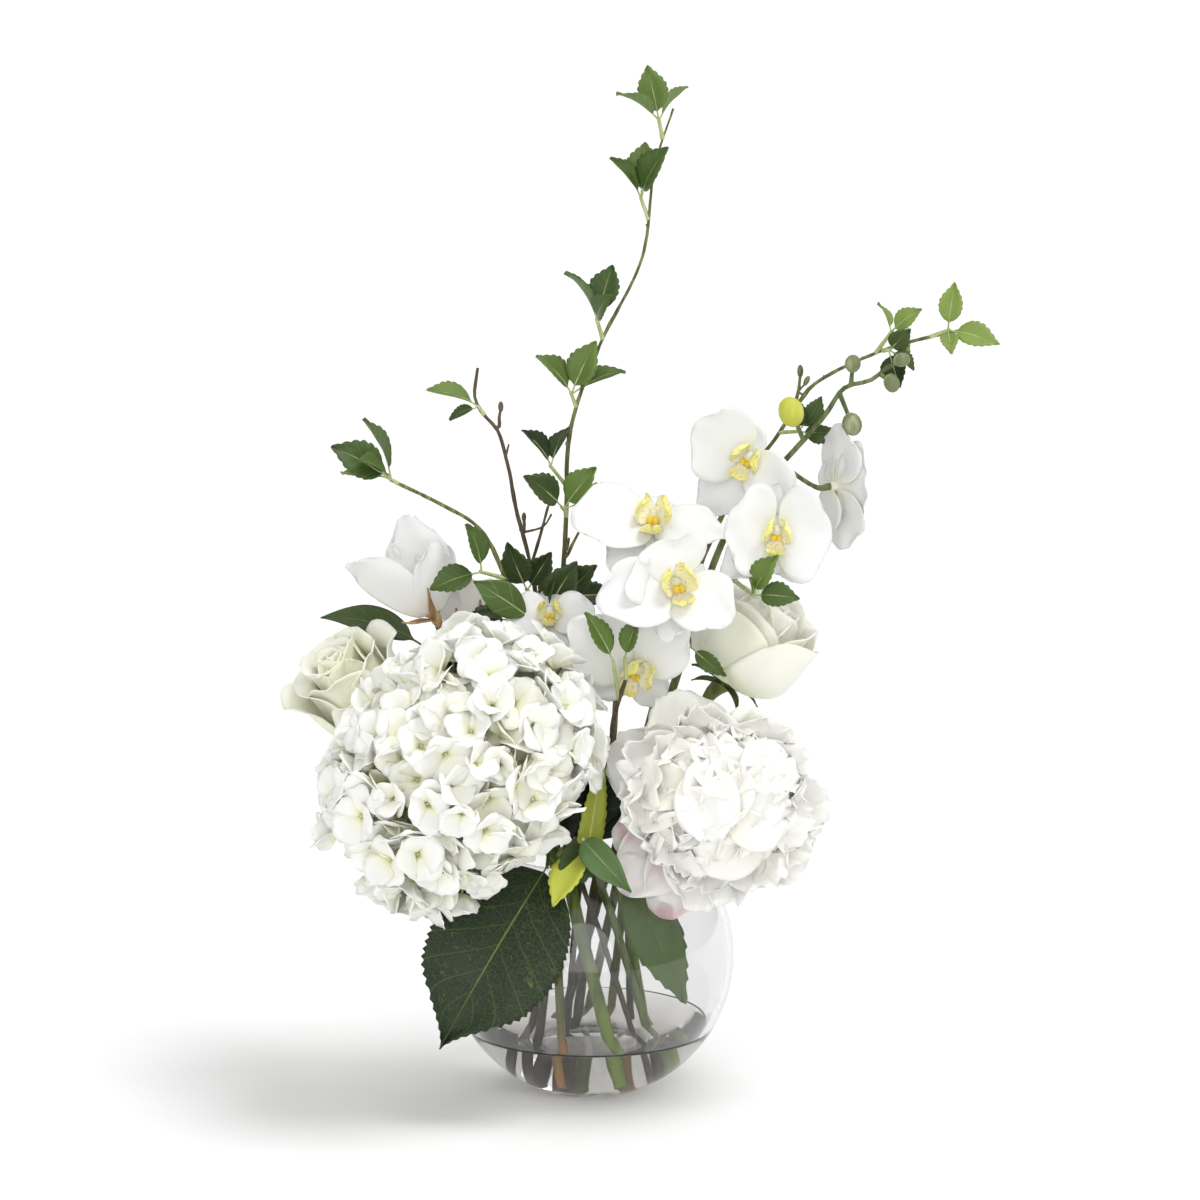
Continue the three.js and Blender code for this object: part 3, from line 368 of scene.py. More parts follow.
# The rows hold what the functions above take after the name, in their order.
petalSkins = {
    # Inner florets lean towards the root colour: partly their own greener colour, partly painted warm shade.
    "hydrangeaPetal": ((0.965, 0.965, 0.94), (0.93, 0.94, 0.66), 0.55, 0.1, 0.75),
    "hydrangeaEye": ((0.72, 0.76, 0.4), (0.5, 0.58, 0.22), 1.0),
    # Its dark green patches are painted shade deep inside the head.
    "hydrangeaHeart": ((0.9, 0.91, 0.7), (0.8, 0.83, 0.5), 0.9, 0.3, 0.2, (0.1, 0.13, 0.05),
                       (0.8, 70.0, 0.62)),
    "peonyPetal": ((0.952, 0.946, 0.922), (0.96, 0.94, 0.79), 0.6, 0.05, 0.3),
    "peonyCupPetal": ((0.93, 0.93, 0.89), (0.84, 0.85, 0.66), 0.8, 0.08, 0.3),
    "peonyBackPetal": ((0.86, 0.82, 0.81), (0.86, 0.84, 0.7), 0.3, 0.1, 0.1, (0.72, 0.42, 0.45),
                       (0.8, 34.0, 0.46)),
    "rosePetal": ((0.95, 0.945, 0.85), (0.83, 0.87, 0.55), 0.5, 0.08, 0.25),
    "roseBackPetal": ((0.92, 0.92, 0.77), (0.64, 0.73, 0.32), 0.8, 0.1, 0.2),
    "creamRosePetal": ((0.965, 0.96, 0.89), (0.89, 0.915, 0.66), 0.5, 0.06, 0.2),
    "creamRoseBackPetal": ((0.965, 0.96, 0.875), (0.82, 0.87, 0.53), 0.6, 0.08, 0.3),
    "orchidPetal": ((0.82, 0.82, 0.825), (0.86, 0.87, 0.7), 0.3, 0.06),
    "magnoliaPetal": ((0.86, 0.855, 0.86), (0.8, 0.8, 0.74), 0.35, 0.12),
    "orchidLipPetal": ((0.9, 0.83, 0.12), (0.93, 0.91, 0.72), 1.1, 0.2, 0.1, (0.5, 0.2, 0.08),
                       (0.65, 620.0, 0.55)),
    "orchidLipHeart": ((0.88, 0.66, 0.06), (0.85, 0.5, 0.03), 0.8, 0.2, 0.2, (0.5, 0.16, 0.03),
                       (0.5, 500.0, 0.56)),
}
leafSkins = {
    "freshLeaf": ((0.14, 0.215, 0.045), (0.05, 0.09, 0.02), (0.22, 0.3, 0.09), 0.2, 0.05),
    "freshLeafBack": ((0.17, 0.25, 0.08), (0.09, 0.15, 0.04), (0.32, 0.4, 0.16), 0.3, 0.0),
    # A lighter copy of the fresh leaf: painted light on the leaves of the right branch and the front twig.
    "lightLeaf": ((0.23, 0.32, 0.07), (0.1, 0.17, 0.03), (0.4, 0.47, 0.2), 0.2, 0.05),
    # A darker copy of the fresh leaf: painted shade on the low and inner leaves of the branches and on the
    # low neck leaf. It also colours the back of the big leaf, the rose sepals and the magnolia leaf.
    "darkLeaf": ((0.06, 0.096, 0.022), (0.02, 0.034, 0.01), (0.12, 0.17, 0.05), 0.2, 0.05),
    # Nearly black: painted shade, on the leaves that fill the gap under the hydrangea head.
    "shadeLeaf": ((0.016, 0.026, 0.013), (0.008, 0.013, 0.008), (0.04, 0.07, 0.02)),
    "nettedLeaf": ((0.024, 0.042, 0.014), (0.012, 0.023, 0.008), (0.13, 0.195, 0.05), 0.3, 0.5, 8.0, 24.0,
                   0.0007, 0.28),
    "smoothLeaf": ((0.09, 0.155, 0.03), (0.05, 0.085, 0.016), (0.2, 0.27, 0.1), 0.1, 0.0, 6.0, 16.0, 0.0004,
                   0.6),
    "stripedLeaf": ((0.08, 0.13, 0.03), (0.03, 0.055, 0.012), (0.22, 0.3, 0.12), 0.35, 0.0, 4.0),
    "blueGreenLeaf": ((0.12, 0.2, 0.07), (0.07, 0.13, 0.04), (0.2, 0.3, 0.12), 0.1, 0.0),
    "limeLeaf": ((0.56, 0.6, 0.08), (0.3, 0.33, 0.04), (0.6, 0.64, 0.16), 0.2),
}
barkSkins = {
    "paleStalk": ((0.36, 0.43, 0.16), (0.55, 0.6, 0.32), (0.3, 0.4, 0.1), 0.07),
    "branchBark": ((0.09, 0.08, 0.032), (0.25, 0.27, 0.09), (0.04, 0.028, 0.018), 0.4),
    "twigBark": ((0.065, 0.048, 0.03), (0.15, 0.12, 0.07), (0.04, 0.028, 0.018), 0.3),
    "greenStem": ((0.09, 0.14, 0.03), (0.2, 0.25, 0.06), (0.22, 0.33, 0.03), 0.1, 200.0),
    "amberStem": ((0.1, 0.13, 0.03), (0.2, 0.22, 0.06), (0.5, 0.18, 0.03), 0.08, 200.0),
    "orchidStem": ((0.07, 0.1, 0.03), (0.2, 0.24, 0.1), (0.15, 0.22, 0.05), 0.1, 200.0),
    "limeBudSkin": ((0.54, 0.56, 0.07), (0.72, 0.72, 0.2), (0.5, 0.5, 0.1), 0.07, 90.0),
    "budSkin": ((0.17, 0.2, 0.09), (0.36, 0.38, 0.22), (0.2, 0.2, 0.1), 0.07, 160.0),
    "calyxScale": ((0.32, 0.17, 0.07), (0.56, 0.38, 0.2), (0.2, 0.1, 0.04), 0.07, 200.0),
}
clearSkins = {
    "bowlGlass": (1.46, (0.9, 0.9, 0.9), (0.88, 0.88, 0.88)),
    "bowlWater": (1.33, (1, 0.985, 0.955), (1, 0.98, 0.95)),
}
finish = {}
for kind, skins in ((petalMaterial, petalSkins), (leafMaterial, leafSkins), (barkMaterial, barkSkins),
                    (clearMaterial, clearSkins)):
    for skin, values in skins.items():
        finish[skin] = kind(skin, *values)
print("materials ready")


def newPiece():
    bm = bmesh.new()
    bm.loops.layers.uv.new("blade")
    bm.verts.layers.float.new("tone")
    return bm


def finishPiece(name, bm, skins, node, thickness=0.0):
    # The piece rides on the arrangement and takes the place of the frame's own node.
    bmesh.ops.scale(bm, vec=Vector((1, 1, 1)) * metresPerMillimetre, verts=bm.verts)
    mesh = bpy.data.meshes.new(name)
    bm.to_mesh(mesh)
    bm.free()
    mesh.shade_smooth()
    for skin in skins:
        mesh.materials.append(finish[skin])
    piece = addToScene(bpy.data.objects.new(name, mesh))
    if thickness:
        shell = piece.modifiers.new("thickness", "SOLIDIFY")
        shell.thickness = thickness * metresPerMillimetre
        shell.offset = 0
        shell.material_offset = 1 if len(skins) > 1 else 0  # every skin is followed by its back
    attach(piece, "root")
    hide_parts(node)


def frameAt(origin, growth, face):
    # Local Z along growth and local Y towards face.
    z = growth.normalized()
    y = (face - z * face.dot(z)).normalized()
    return Matrix.Translation(origin) @ Matrix((y.cross(z), y, z)).transposed().to_4x4()


def spreadValue(values, share):
    # The value at a share of the way through a list, between its neighbours.
    place = share * (len(values) - 1)
    k = min(int(place), len(values) - 2)
    return values[k] + (values[k + 1] - values[k]) * (place - k)


def smoothRoute(route, step=5):
    # The same smooth curve through the points as the stems of the frame.
    knots = [Vector(p) for p in route]
    knots = [2 * knots[0] - knots[1]] + knots + [2 * knots[-1] - knots[-2]]
    line = [knots[1]]
    for a, b, c, d in zip(knots, knots[1:], knots[2:], knots[3:]):
        before, here, after = [max((q - p).length, 0.01) ** 0.5 for p, q in ((a, b), (b, c), (c, d))]
        leave = ((b - a) / before - (c - a) / (before + here) + (c - b) / here) * here
        arrive = ((c - b) / here - (d - b) / (here + after) + (d - c) / after) * here
        count = max(2, round((c - b).length / step) + 1)
        line += interpolate_bezier(b, b + leave / 3, c - arrive / 3, c, count)[1:]
    return line


def nearestOn(line, wanted):
    feet = []
    for a, b in zip(line, line[1:]):
        foot, share = intersect_point_line(Vector(wanted), a, b)
        feet.append(a.lerp(b, min(max(share, 0), 1)))
    return min(feet, key=lambda foot: (foot - Vector(wanted)).length)


barkKnobs = (0.3, 0.3, 0.12)  # how close the knobs of a stem's skin lie, across and along


def addTube(bm, line, radii, bark=0.0, sides=8):
    # A round stem along a line; bark is how far its skin is knobbly.
    data = bpy.data.curves.new("stem", "CURVE")
    data.dimensions = "3D"
    data.bevel_depth = 1
    data.bevel_resolution = sides // 4
    data.use_fill_caps = True
    spline = data.splines.new("POLY")
    spline.points.add(len(line) - 1)
    for k, (point, place) in enumerate(zip(spline.points, line)):
        point.co = (*place, 1)
        point.radius = spreadValue(radii, k / (len(line) - 1))
    holder = bpy.data.objects.new("stem", data)
    first = len(bm.verts)
    bm.from_mesh(holder.to_mesh())
    holder.to_mesh_clear()
    bpy.data.objects.remove(holder)
    bpy.data.curves.remove(data)
    bm.verts.ensure_lookup_table()
    bm.normal_update()
    for vert in bm.verts[first:]:
        vert.co += vert.normal * bark * noise.noise(vert.co * Vector(barkKnobs))


def addBud(bm, centre, axis, halfLength, radius, tone=0.5, sides=12):
    matrix = frameAt(Vector(centre), Vector(axis), Vector((0.3, 0.9, 0.2)))
    matrix = matrix @ Matrix.Diagonal((radius, radius, halfLength, 1))
    made = bmesh.ops.create_uvsphere(bm, u_segments=sides, v_segments=sides * 2 // 3, radius=1,
                                     matrix=matrix, calc_uvs=True)
    toneLayer = bm.verts.layers.float["tone"]
    for vert in made["verts"]:
        vert[toneLayer] = tone


# Every petal and every leaf is a blade, with a length, a width and its tilt in degrees from root to tip.
# Its outline comes from rise, blunt, open, stalk, round, notch, point, fray and the teeth, and its relief
# from arc, fold, ruffle, frill and crumple.
plainBlade = {
    "rise": 1.0, "blunt": 1.0, "open": 1.0, "stalk": 0.0, "round": 0.0, "notch": 0.0, "point": 0.0,
    "pointFrom": 0.55, "fray": 0.0, "teeth": 0, "cut": 0.0, "least": 0.35,
    "arc": 0.0, "fold": 0.0, "ruffle": 0.0, "waves": 3.0, "phase": 0.0, "frill": 0.0, "frills": 7.0,
    "crumple": 0.0, "seed": 0.0,
}
plainRing = {
    "turn": 0, "stray": 0.3, "gap": (0, 0), "lean": 6, "vary": 0.12, "height": 3, "offset": 2, "swing": 0.25,
}


def bendLine(length, tilt, pieces=24):
    # Points and slopes along a blade's middle, tilted back from its face by degrees.
    y = z = 0.0
    table = [(y, z, math.radians(tilt[0]))]
    for i in range(pieces):
        angle = math.radians(spreadValue(tilt, (i + 0.5) / pieces))
        y -= math.sin(angle) * length / pieces
        z += math.cos(angle) * length / pieces
        table.append((y, z, math.radians(spreadValue(tilt, (i + 1) / pieces))))
    return table


def within(value):
    return min(max(value, 0), 1)


def bladePoint(shape, table, s, t):
    # One point of a blade: s runs across from -1 to 1, and t along from 0 to 1.
    fray = shape["fray"] * noise.noise(Vector((s * 5, shape["seed"], 3))) * t ** 6
    corner = shape["round"] * abs(s) ** 2.4 * t ** 3
    dent = shape["notch"] * math.exp(-(s * 4) ** 2) * t ** 6
    reach = within(t * (1 - corner - dent - fray))
    grown = within((t - shape["stalk"]) / (1 - shape["stalk"]))
    fullness = max(0.0, math.sin(math.pi * grown ** shape["rise"] * shape["open"])) ** shape["blunt"]
    pointed = within((grown - shape["pointFrom"]) / (1 - shape["pointFrom"]))
    fullness *= 1 - shape["point"] * pointed ** 1.5
    half = max(shape["width"] / 2 * fullness, shape["least"])
    if shape["teeth"] and abs(s) > 0.99 and 0.02 < grown < 0.98:
        tooth = round(grown * shape["teeth"] * 2) % 2
        half *= 1 + shape["cut"] * (tooth - 0.5)
        reach = min(reach + (0.5 * tooth - 0.25) / (2 * shape["teeth"]), 1)
    x = s * half
    lift = shape["fold"] * abs(x)
    if shape["arc"]:
        lift += (1 - math.cos(x * shape["arc"])) / shape["arc"]
        x = math.sin(x * shape["arc"]) / shape["arc"]
    wave = math.sin(shape["waves"] * s * math.pi + shape["phase"])
    lift += shape["ruffle"] * t * t * wave * abs(s) ** 0.5
    lift += shape["frill"] * t ** 5 * math.sin(shape["frills"] * s * math.pi + 2 * shape["phase"])
    lift += shape["crumple"] * t * noise.noise(Vector((s * 1.7, t * 2.2, shape["seed"])))
    place = reach * (len(table) - 1)
    k = min(int(place), len(table) - 2)
    y, z, angle = [a + (b - a) * (place - k) for a, b in zip(table[k], table[k + 1])]
    return Vector((-x, y + math.cos(angle) * lift, z + math.sin(angle) * lift))


def addBlade(bm, blade, matrix, tone, material=0):
    # A flat grid, bent into its shape; the tone lets each blade differ a little in colour.
    shape = {**plainBlade, **blade}
    table = bendLine(shape["length"], shape["tilt"])
    toneLayer = bm.verts.layers.float["tone"]
    made = bmesh.ops.create_grid(bm, x_segments=shape["columns"], y_segments=shape["rows"], size=1,
                                 calc_uvs=True)
    for vert in made["verts"]:
        s, t = vert.co.x, (vert.co.y + 1) / 2
        vert.co = matrix @ bladePoint(shape, table, s, t)
        vert[toneLayer] = tone
    if material:
        for face in {face for vert in made["verts"] for face in vert.link_faces}:
            face.material_index = material
    return table


def bloomFrame(base, axis, angle, height, offset, up=Vector((0.05, 0.1, 1))):
    # Where a petal is rooted round a bloom's axis, facing inwards.
    radial = (up - axis * up.dot(axis)).normalized()
    radial = Matrix.Rotation(angle, 3, axis) @ radial
    return frameAt(base + axis * height + radial * offset, axis, -radial)


def addRing(bm, base, axis, ring, petal, draw):
    # Petals round the axis, with an empty gap in degrees; angle, tilt, length and swing stray a little.
    ring = {**plainRing, **ring}
    for i in range(ring["count"]):
        stray = ring["stray"] * (draw.random() - 0.5)
        angle = ring["turn"] + math.tau * (i + stray) / ring["count"]
        if ring["gap"][0] < math.degrees(angle) % 360 < ring["gap"][1]:
            continue
        lean = ring["lean"] * (draw.random() - 0.5)
        scale = 1 + ring["vary"] * (draw.random() - 0.5)
        blade = {**petal, "length": petal["length"] * scale, "phase": 6 * draw.random(),
                 "seed": 50 * draw.random(), "tilt": [a + lean for a in petal["tilt"]]}
        matrix = bloomFrame(base, axis, angle, ring["height"], ring["offset"])
        matrix = matrix @ Matrix.Rotation(ring["swing"] * (draw.random() - 0.5), 4, "Z")
        addBlade(bm, blade, matrix, draw.random())


bowl = {
    "radius": 90, "wall": 4, "floor": 7, "footRadius": 36, "footHollow": 1.2, "footRim": (8, 5),
    "rimHeight": 150, "corner": 4, "cornerSteps": ((3, 2.6), (8, 3.8)),
    "waterLevel": 38, "waterPlay": 0.15, "waterFoot": ((8, 4), (3, 2.8)),
    "waterEdge": ((0.5, 0.7), (1.2, 1.2), (2.4, 1.5), (4, 1.6)),
}
bowl["centre"] = math.sqrt(bowl["radius"] ** 2 - bowl["footRadius"] ** 2)
# The stems cross in a ring at the bowl's mouth and spread below it. Above it each has its own way, through
# top. A share below 1 puts a stem nearer the middle.
bunch = {"bindHeight": 142, "bindRing": 23.5, "footRing": 43, "footHeight": 12.5, "twist": 70}
stems = {
    "hydrangea": {"angle": 225, "top": [(-28, -28, 160)]},
    "roseLeft": {"angle": 178, "top": [(-48, 20, 172), (-96, 40, 206), (-124, 38, 224)]},
    "magnolia": {"angle": 148, "top": [(-40, 36, 180), (-64, 44, 220), (-82, 38, 250)]},
    "leftBranch": {"angle": 122, "top": [
        (-24, 28, 185), (-38, 16, 240), (-44, 8, 275), (-52, 2, 319), (-68, -2, 352), (-92, -6, 368),
        (-122, -8, 383)]},
    "leftTwig": {"angle": 130, "share": 0.4, "top": [
        (-14, 14, 185), (-28, 26, 240), (-34, 24, 308), (-38, 20, 330), (-41, 19, 343), (-46, 18, 362),
        (-49, 18, 380), (-52, 18, 393), (-57, 18, 410), (-67, 18, 422), (-71, 18, 431), (-69, 18, 449)]},
    "tallBranch": {"angle": 60, "share": 0.4, "top": [
        (0, 16, 190), (-13, 26, 240), (-17, 28, 303), (-15, 30, 353), (-12, 29, 410), (6, 28, 462),
        (32, 28, 516), (40, 28, 573), (51, 28, 607)]},
    "rightBranch": {"angle": 52, "top": [
        (28, 34, 190), (42, 42, 240), (66, 42, 314), (90, 40, 368), (115, 34, 403), (130, 30, 427),
        (139, 28, 438), (182, 22, 460), (241, 12, 476)]},
    "orchidRight": {"angle": 28, "top": [
        (34, 20, 190), (50, 22, 242), (62, 20, 280), (79, 18, 333), (93, 16, 362), (116, 12, 388),
        (132, 10, 406), (145, 8, 422), (156, 6, 438), (172, 4, 443), (181, 4, 450)]},
    "frontTwig": {"angle": 254, "top": [(2, -32, 182), (11, -42, 215), (15, -54, 246), (22, -62, 270)]},
    "roseRight": {"angle": 5, "top": [(42, 8, 190), (64, 16, 226), (76, 16, 246)]},
    "rightLowBranch": {"angle": -18, "top": [
        (28, -8, 185), (38, -10, 225), (46, -14, 258), (54, -20, 284), (70, -18, 309), (94, -12, 326)]},
    "peony": {"angle": -42, "top": [(32, -18, 162), (54, -28, 178)]},
    "orchidLeft": {"angle": 282, "top": [
        (8, -22, 180), (14, -16, 220), (18, -10, 268), (26, -6, 310), (32, -4, 340)]},
}


def stemLine(name, last=None):
    # From the bowl's floor straight to the ring at its mouth, then on by its own way.
    plan = stems[name]
    share = plan.get("share", 1)

    def ringPoint(ring, turn, z):
        a = math.radians(plan["angle"] + turn)
        return Vector((share * ring * math.cos(a), share * ring * math.sin(a), z))

    foot = ringPoint(bunch["footRing"], bunch["twist"], bunch["footHeight"])
    bind = ringPoint(bunch["bindRing"], 0, bunch["bindHeight"])
    route = [foot.lerp(bind, u) for u in (0, 0.35, 0.7, 1)] + plan["top"] + ([last] if last else [])
    return smoothRoute(route)


def knotted(radius, endRadius, count, seed):
    # Radii along a woody stem, a little thicker at each knot.
    draw = random.Random(seed)
    radii = []
    for k in range(count + 1):
        swell = 1.16 if draw.random() > 0.8 else 1
        radii.append((radius + (endRadius - radius) * (k / count) ** 0.6) * swell)
    return radii


def addArc(bm, start, centre, angle, steps):
    # Spins one vertex round the Y axis, which leaves a row of edges, and returns its end.
    turned = bmesh.ops.spin(bm, geom=[start], cent=centre, axis=(0, 1, 0), angle=angle, steps=steps,
                            use_duplicate=False)
    return [item for item in turned["geom_last"] if isinstance(item, bmesh.types.BMVert)][0]


def addStraight(bm, start, end):
    vert = bm.verts.new(end)
    bm.edges.new((start, vert))
    return vert


def ballAngle(radius, z):
    return math.asin((z - bowl["centre"]) / radius)


def ballPoint(radius, z):
    return Vector((radius * math.cos(ballAngle(radius, z)), 0, z))


def spinRound(bm, steps=96):
    bmesh.ops.spin(bm, geom=bm.verts[:] + bm.edges[:], cent=(0, 0, 0), axis=(0, 0, 1),
                   angle=math.tau, steps=steps, use_merge=True)
    bmesh.ops.remove_doubles(bm, verts=bm.verts, dist=0.02)
    bmesh.ops.recalc_face_normals(bm, faces=bm.faces)


def buildBowl():
    bm = newPiece()
    centre = (0, 0, bowl["centre"])
    radius, rim, wall = bowl["radius"], bowl["rimHeight"], bowl["wall"]
    inside, foot, hollow = radius - wall, bowl["footRadius"], bowl["footHollow"]
    vert = addStraight(bm, bm.verts.new((0, 0, hollow)), (foot - bowl["footRim"][0], 0, hollow))
    vert = addStraight(bm, vert, (foot - bowl["footRim"][1], 0, 0))
    vert = addStraight(bm, vert, (foot, 0, 0))
    vert = addArc(bm, vert, centre, ballAngle(radius, 0) - ballAngle(radius, rim), 56)
    middle = Vector(centre).lerp(vert.co, (radius - wall / 2) / radius)
    vert = addArc(bm, vert, middle, -math.pi, 10)
    low = ballAngle(inside, bowl["floor"] + bowl["corner"])
    vert = addArc(bm, vert, centre, ballAngle(radius, rim) - low, 52)
    corner = vert.co.copy()
    for reach, drop in bowl["cornerSteps"]:
        vert = addStraight(bm, vert, corner + Vector((-reach, 0, -drop)))
    addStraight(bm, vert, (0, 0, bowl["floor"]))
    spinRound(bm)
    finishPiece("glassBowl", bm, ["bowlGlass"], "glass_bowl")


def buildWater():
    # The water reaches a hair into the glass, and climbs it a little at its edge.
    bm = newPiece()
    centre = (0, 0, bowl["centre"])
    inside = bowl["radius"] - bowl["wall"] + bowl["waterPlay"]
    top = bowl["waterLevel"]
    low = ballPoint(inside, bowl["floor"] + bowl["corner"])
    vert = bm.verts.new((0, 0, bowl["floor"] - 2 * bowl["waterPlay"]))
    for reach, drop in bowl["waterFoot"]:
        vert = addStraight(bm, vert, (low.x - reach, 0, low.z - drop))
    vert = addStraight(bm, vert, low)
    high = ballAngle(inside, top + bowl["waterEdge"][-1][1])
    vert = addArc(bm, vert, centre, ballAngle(inside, low.z) - high, 24)
    edge = vert.co.copy()
    for reach, drop in bowl["waterEdge"]:
        vert = addStraight(bm, vert, (edge.x - reach, 0, edge.z - drop))
    addStraight(bm, vert, (0, 0, top))
    spinRound(bm)
    finishPiece("bowlWater", bm, ["bowlWater"], "water")
    print("bowl and water built")


smallLeaf = {"share": 0.53, "arch": 0.3, "fold": 0.42, "teeth": 15, "cut": 0.09, "stalk": 0.2, "rise": 0.8,
             "point": 0.45, "face": (-0.1, -0.85, 0.5), "columns": 6, "rows": 28, "crumple": 2.5,
             "blunt": 0.75, "rib": 0.7, "ribThick": 1, "skin": 0}


def addLeaf(leafBm, stalkBm, root, tip, options, draw):
    # tip may hold a fourth number, which turns the leaf about its own length, in degrees.
    spec = {**smallLeaf, **options}
    root, end = Vector(root), Vector(tip[:3])
    chord = (end - root).length
    arch = spec["arch"]
    blade = {**spec, "length": chord * arch / math.sin(arch), "width": chord * spec["share"],
             "tilt": [-math.degrees(arch), math.degrees(arch)], "seed": 60 * draw.random()}
    matrix = frameAt(root, end - root, Vector(spec["face"]))
    if len(tip) > 3:
        matrix = matrix @ Matrix.Rotation(math.radians(tip[3]), 4, "Z")
    table = addBlade(leafBm, blade, matrix, draw.random(), 2 * spec["skin"])
    rib = table[:round(spec["rib"] * len(table))]
    thick = (0.3 + chord * 0.006) * spec["ribThick"]
    line = [matrix @ Vector((0, y + 0.1, z)) for y, z, angle in rib]
    addTube(stalkBm, line, [thick * 1.3, thick, thick * 0.8, 0.15], 0, 6)


freshSkins = ("freshLeaf", "freshLeafBack")
# The second pair's face is the darker copy of the leaf: painted shade for the clusters that take skin 1.
paintedShadeSkins = (*freshSkins, "darkLeaf", "freshLeaf")
leafThick = 0.5
leafStub = [1.5, 1.2, 1.1]  # radii of the green stub that carries a cluster
spurReach = 14  # a spur whose first point is nearer than this to the stem starts on the stem's own line


def buildLeaves(name, node, line, clusters, seed, skins=freshSkins, stalk="paleStalk"):
    # Every cluster springs from a stub on the stem's own line; skins come in pairs, face and back.
    draw = random.Random(seed)
    leafBm, stalkBm = newPiece(), newPiece()
    for cluster in clusters:
        foot, end = nearestOn(line, cluster["foot"]), Vector(cluster["at"])
        addTube(stalkBm, smoothRoute([foot, foot.lerp(end, 0.6), end], 2), leafStub, 0.1, 8)
        for tip in cluster["tips"]:
            start = end + (foot - end).normalized() * leafStub[0]
            addLeaf(leafBm, stalkBm, start, tip, cluster.get("leaf", {}), draw)
    finishPiece(name + "Leaves", leafBm, skins, node, leafThick)
    finishPiece(name + "Stalks", stalkBm, [stalk], node)


def buildWood(name, node, line, radii, skin, bark=0.35, spurs=(), buds=(), knobs=0):
    # A stem with its side spurs, its buds and a few knobs where leaves have dropped.
    bm = newPiece()
    addTube(bm, line, radii, bark, 12)
    for route, thick in spurs:
        start = nearestOn(line, route[0])
        reach = [start] if (start - Vector(route[0])).length < spurReach else []
        addTube(bm, smoothRoute(reach + list(route), 3), [thick, thick * 0.8, thick * 0.65], bark * 0.6, 8)
    for centre, axis, size in buds:
        addBud(bm, centre, axis, size, size * 0.5)
    draw = random.Random(len(line))
    for k in range(knobs):
        share = draw.uniform(0.5, 0.96)
        spot = line[round(share * (len(line) - 1))]
        side = Vector((draw.uniform(-1, 1), draw.uniform(-1, 1), 0.4)).normalized()
        size = spreadValue(radii, share)
        addBud(bm, spot + side * size * 0.8, side + Vector((0, 0, 1)), size * 1.3, size * 0.7)
    finishPiece(name + "Wood", bm, [skin], node)


